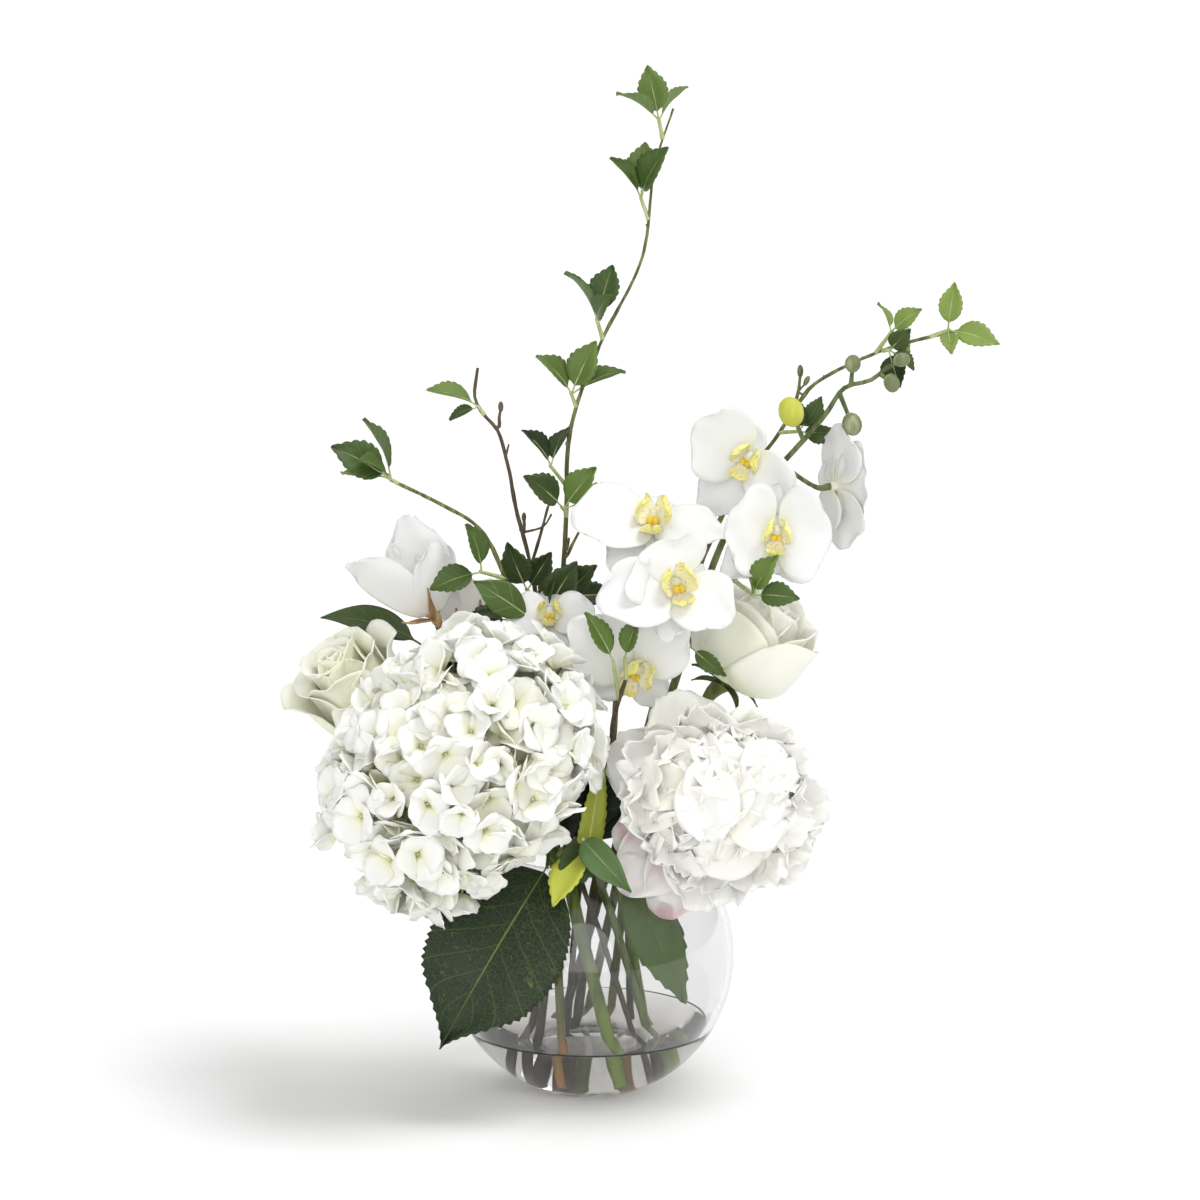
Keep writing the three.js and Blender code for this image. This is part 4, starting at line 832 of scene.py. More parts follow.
# Each branch: radii at foot and end with the number of knots and their seed, then its spurs, buds and
# leaves. A leaf cluster has its foot on the stem, the point at which its leaves part, and their tips.
# Where a branch's second pair of skins is the darker copy of the leaf, its clusters with skin 1 carry
# painted shade.
branches = {
    "tallBranch": {
        "node": "tall_branch", "knots": (3.6, 0.6, 40, 3), "knobs": 8, "seed": 21, "skins": paintedShadeSkins,
        "spurs": [([(-15, 28, 330), (-11, 26, 338), (-7, 24, 346)], 1.3),
                  ([(-15, 28, 334), (-13, 26, 342)], 1.2)],
        "leaves": [
            {"foot": (43, 28, 589), "at": (42, 26, 601),
             "tips": [(35, 26, 633), (16, 12, 616, 78), (60, 34, 620, -78)]},
            {"foot": (36, 28, 539), "at": (31, 30, 553),
             "tips": [(34, 42, 586), (48, 12, 584, -20), (12, 22, 577, 50)]},
            {"foot": (8, 28, 466), "at": (4, 24, 479),
             "tips": [(14, 32, 511), (13, 4, 495), (-15, 20, 508, 84)]},
            {"foot": (-9, 29, 424), "at": (-12, 26, 433),
             "tips": [(4, 22, 465), (-33, 14, 457, 38), (22, 32, 445, -36)]},
            {"leaf": {"skin": 1}, "foot": (-14, 30, 374), "at": (-25, 24, 388),
             "tips": [(-42, 14, 411, 45), (-12, 42, 410, -40)]},
            {"foot": (-15, 30, 355), "at": (-16, 20, 362), "tips": [(4, 12, 388), (16, 30, 374, 40)]},
            {"leaf": {"skin": 1}, "foot": (-16, 30, 358), "at": (-18, 24, 362),
             "tips": [(-41, 8, 383, 12)]},
            {"leaf": {"skin": 1}, "foot": (-17, 28, 300), "at": (-14, 18, 306),
             "tips": [(4, 6, 328), (14, 26, 306)]},
        ],
    },
    "leftBranch": {
        "node": "left_branch", "knots": (3, 1, 40, 4), "knobs": 6, "seed": 22,
        "skins": (*paintedShadeSkins, "stripedLeaf", "freshLeaf"),
        "leaves": [
            {"foot": (-117, -8, 381), "at": (-123, -8, 384),
             "tips": [(-157, -20, 405), (-153, 12, 384, 30), (-139, 4, 419, 96), (-141, -30, 398, 35)]},
            {"foot": (-54, 2, 320), "at": (-68, -6, 326), "tips": [(-98, -14, 316), (-76, -10, 356, 48)],
             "leaf": {"share": 0.54}},
            {"foot": (-42, 12, 262), "at": (-50, -2, 292), "tips": [(-66, 6, 318, 30)]},
            {"foot": (-42, 12, 262), "at": (-33, -6, 295), "tips": [(-71, -20, 322)],
             "leaf": {"fold": 0.14, "skin": 2, "share": 0.44, "teeth": 0, "columns": 10, "point": 0.5,
                      "rise": 0.95}},
            {"foot": (-41, 12, 270), "at": (-50, -4, 296), "tips": [(-76, -16, 297, 20)],
             "leaf": {"skin": 1}},
        ],
    },
    "leftTwig": {
        "node": "left_twig", "knots": (2.4, 1.0, 50, 5), "knobs": 6, "seed": 23, "skins": paintedShadeSkins,
        "wood": "twigBark", "bark": 0.45,
        "spurs": [
            ([(-56, 18, 413), (-56, 18, 418), (-55, 18, 424)], 1.3),
            ([(-52, 17, 395), (-50, 15, 402)], 1.0),
            ([(-41, 20, 348), (-41, 20, 355)], 1.4),
            ([(-38, 25, 316), (-36, 24, 327), (-31, 22, 344), (-26, 18, 363)], 1.3),
            ([(-29, 21, 350), (-24, 18, 358)], 0.9),
        ],
        "buds": [((-55, 18, 425), (0, 0, 1), 3.4), ((-41, 20, 356), (0, 0, 1), 3)],
        "leaves": [
            {"foot": (-64, 18, 421), "at": (-69, 17, 426), "tips": [(-100, 4, 437, 35), (-87, 24, 416, 20)],
             "leaf": {"share": 0.46}},
            {"foot": (-38, 24, 304), "at": (-40, 19, 311), "tips": [(-51, 8, 342, -14), (-24, 14, 335, 20)],
             "leaf": {"skin": 1}},
            {"foot": (-36, 25, 290), "at": (-27, 9, 299), "tips": [(-8, 2, 331, 16), (-21, 2, 323, -30)],
             "leaf": {"skin": 1}},
        ],
    },
    "rightBranch": {
        "node": "right_branch", "knots": (3.4, 0.8, 40, 6), "knobs": 6, "seed": 24,
        # Skin 0 is the lighter copy of the leaf, painted light on this branch; skin 1 is the darker copy,
        # painted shade.
        "skins": ("lightLeaf", "freshLeafBack", "darkLeaf", "freshLeaf"),
        "spurs": [([(127, 30, 424), (129, 28, 434), (130, 28, 444)], 1.4),
                  ([(129, 28, 433), (133, 28, 438)], 0.9)],
        "buds": [((130, 28, 446), (0, 0, 1), 4), ((134, 28, 440), (0.5, 0, 1), 3.4)],
        "leaves": [
            {"foot": (209, 17, 468), "at": (221, 15, 473),
             "tips": [(250, 2, 465), (223, 12, 502), (220, -4, 460)],
             "leaf": {"share": 0.48}},
            {"foot": (176, 23, 458), "at": (186, 20, 472),
             "tips": [(203, 10, 486), (177, 26, 488, 62), (197, 30, 458)],
             "leaf": {"share": 0.5}},
            {"foot": (180, 23, 460), "at": (185, 18, 460),
             "tips": [(196, 8, 474, 30), (190, 6, 438, 14), (199, 14, 448, -30)],
             "leaf": {"skin": 1, "share": 0.6}},
            {"foot": (118, 33, 407), "at": (130, 24, 409),
             "tips": [(127, 14, 431, 10), (143, 28, 430, 40), (153, 20, 410, 50)],
             "leaf": {"skin": 1}},
        ],
    },
    "rightLowBranch": {
        "node": "right_low_branch", "knots": (2.7, 1.3, 30, 7), "knobs": 4, "seed": 25,
        "leaves": [
            {"foot": (88, -11, 321), "at": (99, -50, 318),
             "tips": [(113, -58, 344, -16), (126, -60, 318), (96, -56, 330, 50)]},
            {"foot": (38, -8, 218), "at": (50, -8, 226), "tips": [(82, -4, 224)]},
            {"foot": (54, -20, 284), "at": (62, -27, 283), "tips": [(83, -36, 266, 20)],
             "leaf": {"share": 0.36}},
        ],
    },
    "frontTwig": {
        "node": "front_twig", "knots": (2, 1.3, 24, 8), "seed": 26, "wood": "twigBark",
        # Skin 0 is the lighter copy of the leaf: painted light.
        "skins": ("lightLeaf", "freshLeafBack", "freshLeaf", "freshLeafBack"),
        "leaves": [
            {"foot": (17, -60, 255), "at": (14, -64, 281), "tips": [(-3, -68, 311, 24)],
             "leaf": {"share": 0.4}},
            {"foot": (22, -62, 269), "at": (21, -64, 283), "tips": [(30, -66, 307, -20)],
             "leaf": {"skin": 1, "share": 0.48}},
        ],
    },
}
plainBranch = {"wood": "branchBark", "bark": 0.35, "spurs": (), "buds": (), "knobs": 0, "skins": freshSkins}


def buildBranches():
    for name, branch in branches.items():
        plan = {**plainBranch, **branch}
        line = stemLine(name)
        buildWood(name, plan["node"], line, knotted(*plan["knots"]), plan["wood"],
                  plan["bark"], plan["spurs"], plan["buds"], plan["knobs"])
        buildLeaves(name, plan["node"], line, plan["leaves"], plan["seed"], plan["skins"])
    print("branches built")


# A layer holds its florets and the shares of the half axes between which they stand. A dent holds its
# direction, its depth and how narrow it is.
hydrangea = {
    "centre": (-76, -76, 218), "halfAxes": (90, 76, 70), "diagonal": (0.6, 0, 0.8),
    "stemSide": (0.44, 0.42, -0.79), "bareCone": 0.7, "coreShare": 0.66, "coreLumps": (5, 0.12),
    "layers": [(215, 0.8, 0.97), (90, 0.66, 0.78)], "scatter": 0.65, "size": 19, "sizes": (0.88, 1.12),
    "dents": [((-0.78, -0.25, 0.57), 0.2, 5), ((0.8, -0.3, -0.5), 0.13, 4), ((0.1, -0.2, 0.97), 0.08, 5)],
    "sepal": {"tilt": [30, 62, 84], "rise": 0.75, "blunt": 0.46, "open": 0.92, "round": 0.2, "arc": 0.022,
              "crumple": 2, "least": 0.6, "columns": 5, "rows": 4},
    "sepalWidth": 1.2, "thick": 0.35, "eye": 1.1, "stalk": [0.8, 1.0],
    "seed": 11, "knots": (4, 4.2, 30, 9), "stemLeafSeed": 31, "neckLeafSeed": 32,
    "stemLeaves": [
        {"foot": (-26, -26, 155), "at": (-26, -62, 153), "tips": [(-90, -102, 51)],
         "leaf": {"share": 0.64, "arch": 0.3, "face": (-0.1, -0.95, 0.25), "teeth": 30, "cut": 0.05,
                  "rib": 0.9, "stalk": 0.04, "fold": 0.1, "columns": 24, "rows": 60, "crumple": 6,
                  "rise": 0.84, "blunt": 0.62, "point": 0.94, "pointFrom": 0.66, "ribThick": 0.4}},
        # Three nearly black leaves, painted shade in the gap under the head.
        {"foot": (-24, -24, 148), "at": (-12, -30, 150),
         "tips": [(-3, -24, 236, 8), (-26, -34, 214, -20), (16, -24, 222, 20)],
         "leaf": {"skin": 1, "share": 0.7, "arch": 0.15, "face": (-0.2, -0.9, 0.3)}},
    ],
    "neckLeaves": [
        {"foot": (-22, -22, 150), "at": (-2, -60, 158), "tips": [(8, -62, 228, 20)],
         "leaf": {"share": 0.24, "arch": 0.1, "stalk": 0.02, "rise": 0.5, "face": (0.1, -0.9, 0.3),
                  "ribThick": 0.4, "fold": 0.12}},
        {"foot": (-22, -22, 150), "at": (0, -60, 166), "tips": [(-22, -84, 134, 30)],
         "leaf": {"share": 0.45, "face": (0.1, -0.9, 0.3)}},
        {"foot": (-20, -22, 150), "at": (-4, -68, 172), "tips": [(25, -84, 143, 10)],
         "leaf": {"skin": 1, "share": 0.42, "teeth": 0, "stalk": 0.04, "rise": 0.65,
                  "face": (0.1, -0.95, 0.3), "ribThick": 0.3}},
        {"foot": (-22, -22, 150), "at": (4, -52, 178), "tips": [(-18, -72, 140, -10)],
         "leaf": {"skin": 2, "share": 0.5, "face": (0.1, -0.9, 0.3)}},
    ],
}


def hydrangeaAxes():
    long = Vector(hydrangea["diagonal"]).normalized()
    deep = Vector((0, 1, 0))
    return Matrix((long, deep.cross(long), deep)).transposed()


def hydrangeaPoint(direction, share):
    # A point of the head and its normal, a little flatter where the neighbours press on it.
    half = Vector(hydrangea["halfAxes"])
    axes = hydrangeaAxes()
    way = axes @ Vector(direction)
    for press, amount, narrow in hydrangea["dents"]:
        share *= 1 - amount * max(0, way.dot(Vector(press).normalized())) ** narrow
    point = Vector([d * h * share for d, h in zip(direction, half)])
    normal = Vector([d / h for d, h in zip(direction, half)]).normalized()
    return axes @ point + Vector(hydrangea["centre"]), axes @ normal


def addFloret(petalBm, heartBm, point, normal, draw, size, tone):
    # Four rounded sepals, some spread flat and some standing, round a green eye on its own stalk.
    spin = draw.uniform(0, math.pi)
    lean = draw.uniform(-20, 18)
    sepal = hydrangea["sepal"]
    for k in range(4):
        own = draw.uniform(-20, 16)
        petal = {**sepal, "width": size * hydrangea["sepalWidth"],
                 "length": size * draw.uniform(*hydrangea["sizes"]), "seed": 90 * draw.random(),
                 "tilt": [a + lean + own for a in sepal["tilt"]]}
        matrix = bloomFrame(point, normal, spin + k * math.pi / 2, 0, 0.8, Vector((0.3, 0.5, 0.7)))
        matrix = matrix @ Matrix.Rotation(draw.uniform(-0.4, 0.4), 4, "Z")
        addBlade(petalBm, petal, matrix, tone * 0.75 + 0.25 * draw.random())
    addBud(heartBm, point + normal * 0.5, normal, hydrangea["eye"], hydrangea["eye"], 0.5, 6)
    inner = Vector(hydrangea["centre"])
    addTube(heartBm, [point, point.lerp(inner, 0.18), point.lerp(inner, 0.36)], hydrangea["stalk"], 0, 4)


def buildHydrangeaHead():
    draw = random.Random(hydrangea["seed"])
    petalBm, heartBm = newPiece(), newPiece()
    centre, core = Vector(hydrangea["centre"]), hydrangea["coreShare"]
    stemSide = Vector(hydrangea["stemSide"]).normalized()
    for count, low, high in hydrangea["layers"]:
        for i in range(count):
            z = 1 - 2 * (i + 0.5) / count
            r = math.sqrt(1 - z * z)
            direction = Vector((r * math.cos(i * golden), r * math.sin(i * golden), z))
            share = draw.uniform(low, high)
            point, normal = hydrangeaPoint(direction, share)
            stray = Vector([draw.uniform(-hydrangea["scatter"], hydrangea["scatter"]) for k in range(3)])
            if (point - centre).normalized().dot(stemSide) < hydrangea["bareCone"]:
                size = hydrangea["size"] * draw.uniform(*hydrangea["sizes"])
                facing = (normal + stray).normalized()
                addFloret(petalBm, heartBm, point, facing, draw, size, (share - core) * 3.2)
    node, slot = "hydrangea_head", "white_petal"
    finishPiece("hydrangeaFlorets", petalBm, ["hydrangeaPetal"], node, hydrangea["thick"])
    finishPiece("hydrangeaEyes", heartBm, ["hydrangeaEye"], node)
    # The small stalks and buds deep inside are one lumpy core; its dark patches are painted shade between
    # them.
    coreBm = newPiece()
    height, scale = hydrangea["coreLumps"]
    made = bmesh.ops.create_icosphere(coreBm, subdivisions=4, radius=1, calc_uvs=True)
    for vert in made["verts"]:
        point, normal = hydrangeaPoint(vert.co.normalized(), core)
        vert.co = point + normal * height * noise.noise(point * scale)
    finishPiece("hydrangeaHeart", coreBm, ["hydrangeaHeart"], node)
    print("hydrangea head built")


def buildHydrangeaStem():
    node, slot = "hydrangea_stem", "dark_stem_and_leaf"
    axis = Vector(hydrangea["stemSide"]).normalized()
    side = hydrangeaAxes().transposed() @ axis
    side = Vector([d / h for d, h in zip(side, hydrangea["halfAxes"])]).normalized()
    point, normal = hydrangeaPoint(side, hydrangea["coreShare"])
    line = stemLine("hydrangea", point + axis * 2)
    buildWood("hydrangeaStem", node, line, knotted(*hydrangea["knots"]), "greenStem", 0.3)
    # The big leaf's back is the darker copy of the leaf; the second pair, nearly black on both sides, is
    # painted shade.
    seed, skins = hydrangea["stemLeafSeed"], ("nettedLeaf", "darkLeaf", "shadeLeaf", "shadeLeaf")
    buildLeaves("hydrangeaBig", node, line, hydrangea["stemLeaves"], seed, skins, "greenStem")
    seed = hydrangea["neckLeafSeed"]
    # The third pair's face is the darker copy of the leaf: painted shade on the low front leaf.
    skins = ("limeLeaf", "limeLeaf", "blueGreenLeaf", "freshLeafBack", "darkLeaf", "smoothLeaf")
    buildLeaves("neck", node, line, hydrangea["neckLeaves"], seed, skins)
    print("hydrangea stem built")


# A ring of petals: how many, its turn, their tilt, length and width, and the gap left for the guards.
peony = {
    "base": (72, -42, 188), "axis": (0.25, -0.93, 0.25), "seed": 5, "thick": 0.4,
    "petal": {"rise": 0.8, "blunt": 0.5, "open": 0.87, "round": 0.16, "arc": 0.02, "ruffle": 3.6,
              "waves": 2.5, "crumple": 8, "fray": 0.07, "frill": 1.4, "frills": 5,
              "columns": 16, "rows": 13},
    "rings": [(7, 0.2, [76, 94, 88, 72], 68, 62, (112, 154)),
              (9, 0.5, [66, 82, 72, 50], 68, 56, (112, 154)),
              (9, 0.1, [56, 70, 60, 30], 66, 50, (0, 0))],
    "dome": 50, "domeHeight": 20, "domeReach": 1.12, "shingles": 84, "swirl": 0.75,
    "shingle": {"ruffle": 2.6, "crumple": 7, "columns": 14, "rows": 12}, "shingleTilt": [-16, 6, 26, 20],
    "guard": {"arc": 0.03, "frill": 0.8, "crumple": 3, "columns": 18, "rows": 14},
    "guards": [(80, [84, 66, 24, -20], 76, 58), (104, [88, 74, 48, 20], 72, 52),
               (128, [84, 74, 54, 34], 62, 46), (154, [84, 74, 54, 34], 64, 46)],
    "back": {"frill": 0, "fray": 0, "crumple": 2, "columns": 14, "rows": 14},
    "backs": [(114, [96, 94, 90], 60, 44), (134, [94, 92, 88], 73, 50), (157, [96, 94, 90], 72, 48)],
    "stemRadii": [3] * 8 + [4, 9], "leafSeed": 33,
    "leaves": [
        {"foot": (20, -16, 145), "at": (25, -27, 141), "tips": [(58, -48, 64)],
         "leaf": {"share": 0.37, "arch": 0.35, "face": (-0.1, -0.95, 0.3), "teeth": 9, "cut": 0.05,
                  "stalk": 0.05, "fold": 0.12, "columns": 12, "rows": 24, "blunt": 0.65, "rib": 0.8,
                  "ribThick": 0.5}},
    ],
}


def peonyFrame():
    return Vector(peony["base"]), Vector(peony["axis"]).normalized()


def addPeonyDome(bm, draw):
    # The full heart is a dome of short petals which lie over each other like shingles.
    base, axis = peonyFrame()
    middle, dome = base + axis * peony["domeHeight"], peony["dome"]
    for i in range(peony["shingles"]):
        z = 1 - (i + 0.5) / peony["shingles"] * peony["domeReach"]
        r = math.sqrt(1 - z * z)
        flat = bloomFrame(base, axis, i * golden, 0, 0).col[1].to_3d()
        normal = (axis * z - flat * r).normalized()
        stray = Vector([draw.uniform(-1, 1) for k in range(3)]) * peony["swirl"]
        way = stray - flat * r
        way = (way - normal * way.dot(normal)).normalized()
        grow, face = normal * 0.4 + way, normal - way * 0.4
        length, own = dome * draw.uniform(0.8, 1), draw.uniform(-10, 14)
        blade = {**peony["petal"], **peony["shingle"], "tilt": [own + a for a in peony["shingleTilt"]],
                 "length": length, "phase": 6 * draw.random(), "width": draw.uniform(36, 50),
                 "seed": 50 * draw.random()}
        point = middle + normal * dome * draw.uniform(0.62, 0.84) - grow.normalized() * length / 2
        addBlade(bm, blade, frameAt(point, grow, face), draw.random())


def addPeonyPetals(bm, petals, shape, height, offset, draw):
    # Single petals round the bloom: each has its angle, tilt, length and width.
    base, axis = peonyFrame()
    for angle, tilt, length, width in petals:
        blade = {**peony["petal"], **shape, "tilt": tilt, "length": length, "width": width}
        addBlade(bm, blade, bloomFrame(base, axis, math.radians(angle), height, offset), draw.random())


def buildPeonyBloom():
    draw = random.Random(peony["seed"])
    base, axis = peonyFrame()
    bm, guardBm, backBm = newPiece(), newPiece(), newPiece()
    for count, turn, tilt, length, width, gap in peony["rings"]:
        blade = {**peony["petal"], "tilt": tilt, "length": length, "width": width}
        ring = {"count": count, "turn": turn, "stray": 0.7, "lean": 9, "vary": 0.14, "height": 4, "gap": gap}
        addRing(bm, base, axis, ring, blade, draw)
    addPeonyDome(bm, draw)
    # Cupped guard petals at the lower left, and smooth pink-flushed petals behind them.
    addPeonyPetals(guardBm, peony["guards"], peony["guard"], 3, 3, draw)
    addPeonyPetals(backBm, peony["backs"], peony["back"], 0, 4, draw)
    node, slot, thick = "peony_bloom", "white_petal", peony["thick"]
    finishPiece("peonyPetals", bm, ["peonyPetal"], node, thick)
    finishPiece("peonyGuards", guardBm, ["peonyCupPetal"], node, thick)
    finishPiece("peonyBacks", backBm, ["peonyBackPetal"], node, thick)
    print("peony bloom built")


def buildPeonyStem():
    node, slot = "peony_stem", "dark_stem_and_leaf"
    base, axis = peonyFrame()
    line = stemLine("peony", base - axis * 2)
    buildWood("peonyStem", node, line, peony["stemRadii"], "greenStem", 0.2)
    skins = ("smoothLeaf", "freshLeafBack")
    buildLeaves("peonyStem", node, line, peony["leaves"], peony["leafSeed"], skins, "greenStem")
    print("peony stem built")


# A ring of petals: how many, its turn, their tilt, length, width and how much they are cupped.
roses = {
    "roseLeft": {
        "base": (-133, 27, 228), "axis": (-0.5, -0.42, 0.76), "seed": 4, "node": "rose_left",
        "skins": ["rosePetal", "roseBackPetal"],
        "rings": [(3, 0.0, [4, 2, -2, -8], 56, 24, 0.11), (3, 0.7, [10, 4, -2, -4, 10], 57, 34, 0.07),
                  (4, 0.2, [32, 10, -6, -2, 14], 60, 44, 0.055),
                  (4, 0.6, [60, 20, -8, -2, 40], 63, 54, 0.042),
                  (5, 0.1, [86, 42, 0, -4, 56], 67, 58, 0.034),
                  (4, 0.9, [100, 66, 12, 0, 78], 68, 58, 0.03)],
    },
    "roseRight": {
        "base": (86, 8, 256), "axis": (0.52, -0.14, 0.84), "seed": 9, "node": "rose_right",
        "skins": ["creamRosePetal", "creamRoseBackPetal"],
        "rings": [(3, 0.0, [4, 2, -2, -8], 54, 24, 0.11), (3, 0.7, [12, 4, -4, -4, 4], 55, 36, 0.065),
                  (4, 0.2, [36, 12, -6, -4, 8], 58, 48, 0.05),
                  (4, 0.6, [68, 30, -6, -6, 16], 64, 60, 0.038),
                  (4, 0.1, [92, 56, 4, -6, 26], 71, 64, 0.03),
                  (4, 3.0, [102, 74, 18, -4, 30], 74, 70, 0.028)],
    },
}
roseForm = {
    "petal": {"rise": 0.62, "blunt": 0.42, "open": 0.84, "round": 0.16, "ruffle": 2.2, "waves": 1.5,
              "crumple": 4.5, "columns": 12, "rows": 16},
    "sepal": {"length": 24, "width": 8, "tilt": [84, 92, 130], "rise": 0.5, "blunt": 0.9, "arc": 0.05,
              "crumple": 2, "columns": 4, "rows": 12},
    "sepalRing": {"count": 5, "height": -4, "offset": 3, "stray": 0.1},
    "thick": 0.6, "stemRadii": [2.8] * 10 + [3.2, 6.5],
}


def buildRose(name):
    rose = roses[name]
    draw = random.Random(rose["seed"])
    base, axis = Vector(rose["base"]), Vector(rose["axis"]).normalized()
    bm = newPiece()
    for count, turn, tilt, length, width, arc in rose["rings"]:
        blade = {**roseForm["petal"], "tilt": tilt, "length": length, "width": width, "arc": arc}
        ring = {"count": count, "turn": turn, "lean": 4, "height": 1, "offset": 2.5}
        addRing(bm, base, axis, ring, blade, draw)
    thick = roseForm["thick"]
    finishPiece(name + "Petals", bm, rose["skins"], rose["node"] + "_bloom", thick)
    node, slot = rose["node"] + "_stem", "dark_stem_and_leaf"
    line = stemLine(name, base - axis)
    buildWood(name + "Stem", node, line, roseForm["stemRadii"], "amberStem", 0.15)
    sepalBm = newPiece()
    addRing(sepalBm, base, axis, roseForm["sepalRing"], roseForm["sepal"], draw)
    finishPiece(name + "Sepals", sepalBm, ["darkLeaf", "smoothLeaf"], node, thick)
    print(name, "built")


# A petal: the way it grows, the way its inner side faces, its tilt, length and width.
magnolias = [
    {"node": "magnolia_front_bloom", "name": "magnoliaFront", "seed": 3,
     "base": (-98, 14, 297), "axis": (-0.43, -0.25, 0.86),
     "petals": [((-0.26, 0.1, 0.94), (0, -1, 0.1), [6, 0, -4], 63, 44),
                ((-0.5, 0.06, 0.85), (0.25, -0.95, 0.2), [8, 0, -6], 50, 26),
                ((-0.81, -0.12, 0.6), (0.1, 0.95, 0.3), [8, 0, 4, 34], 65, 31),
                ((0.03, -0.16, 0.98), (-0.25, 0.95, 0.1), [14, 4, -6], 48, 28),
                ((-0.08, 0.34, 0.93), (-0.2, -0.9, 0.2), [10, 2, 0], 54, 38),
                ((-0.6, 0.5, 0.62), (0.4, -0.7, 0.4), [12, 4, 6], 52, 36)]},
    {"node": "magnolia_behind_bloom", "name": "magnoliaBehind", "seed": 8,
     "base": (-77, 30, 281), "axis": (0.05, -0.08, 0.99),
     "petals": [((-0.62, -0.05, 0.78), (0.4, -0.9, 0.2), [6, 0, -4], 42, 26),
                ((-0.1, 0.02, 1), (0, -1, 0.1), [6, 0, -8], 38, 40),
                ((0.4, 0.3, 0.85), (-0.3, -0.9, 0.1), [8, 0, 0], 38, 34)]},
]
# A calyx scale: its angle, tilt and length.
magnoliaForm = {
    "petal": {"rise": 0.95, "blunt": 0.55, "open": 0.9, "arc": 0.034, "crumple": 5, "ruffle": 1.2,
              "waves": 1, "round": 0.22, "fray": 0.05, "columns": 12, "rows": 14},
    "scale": {"width": 13, "rise": 0.55, "blunt": 0.7, "arc": 0.07, "crumple": 2, "point": 0.5,
              "columns": 6, "rows": 12},
    "scales": [(178, [70, 58, 52], 22), (292, [20, 12, 4], 26), (60, [30, 20, 10], 20)],
    "thick": 0.5, "seat": [2.2, 3.4, 4.4], "knots": (3.2, 2.4, 30, 12), "spurRadius": 2, "leafSeed": 34,
    "leaves": [
        {"foot": (-82, 37, 250), "at": (-102, 44, 268), "tips": [(-170, 46, 288)],
         "leaf": {"share": 0.36, "arch": 0.5, "face": (-0.1, -0.5, 0.85), "teeth": 0, "fold": 0.2,
                  "rows": 24}},
    ],
}


def buildMagnolias():
    node, slot, thick = "magnolia_stem", "bark", magnoliaForm["thick"]
    scaleBm = newPiece()
    for plan in magnolias:
        draw = random.Random(plan["seed"])
        base, axis = Vector(plan["base"]), Vector(plan["axis"]).normalized()
        bm = newPiece()
        for growth, face, tilt, length, width in plan["petals"]:
            blade = {**magnoliaForm["petal"], "tilt": tilt, "length": length, "width": width,
                     "phase": 6 * draw.random(), "seed": 50 * draw.random()}
            matrix = frameAt(base - Vector(face) * 3, Vector(growth), Vector(face))
            addBlade(bm, blade, matrix, draw.random())
        finishPiece(plan["name"] + "Petals", bm, ["magnoliaPetal"], plan["node"], thick)
        for angle, tilt, length in magnoliaForm["scales"]:
            scale = {**magnoliaForm["scale"], "length": length, "tilt": tilt}
            addBlade(scaleBm, scale, bloomFrame(base, axis, math.radians(angle), -4, 2.5), draw.random())
        addTube(scaleBm, [base - axis * 10, base - axis * 4, base + axis * 1], magnoliaForm["seat"], 0.2,
                12)
    finishPiece("magnoliaScales", scaleBm, ["calyxScale"], node, thick)
    ends = [Vector(plan["base"]) - Vector(plan["axis"]).normalized() * 8 for plan in magnolias]
    line = stemLine("magnolia", ends[0])
    fork = nearestOn(line, stems["magnolia"]["top"][-1])
    spur = ([fork.lerp(ends[1], 0.5), ends[1]], magnoliaForm["spurRadius"])
    radii = knotted(*magnoliaForm["knots"])
    buildWood("magnoliaStem", node, line, radii, "twigBark", 0.35, [spur])
    seed, skins = magnoliaForm["leafSeed"], ("darkLeaf", "smoothLeaf")
    buildLeaves("magnoliaStem", node, line, magnoliaForm["leaves"], seed, skins, "greenStem")
    print("magnolias built")


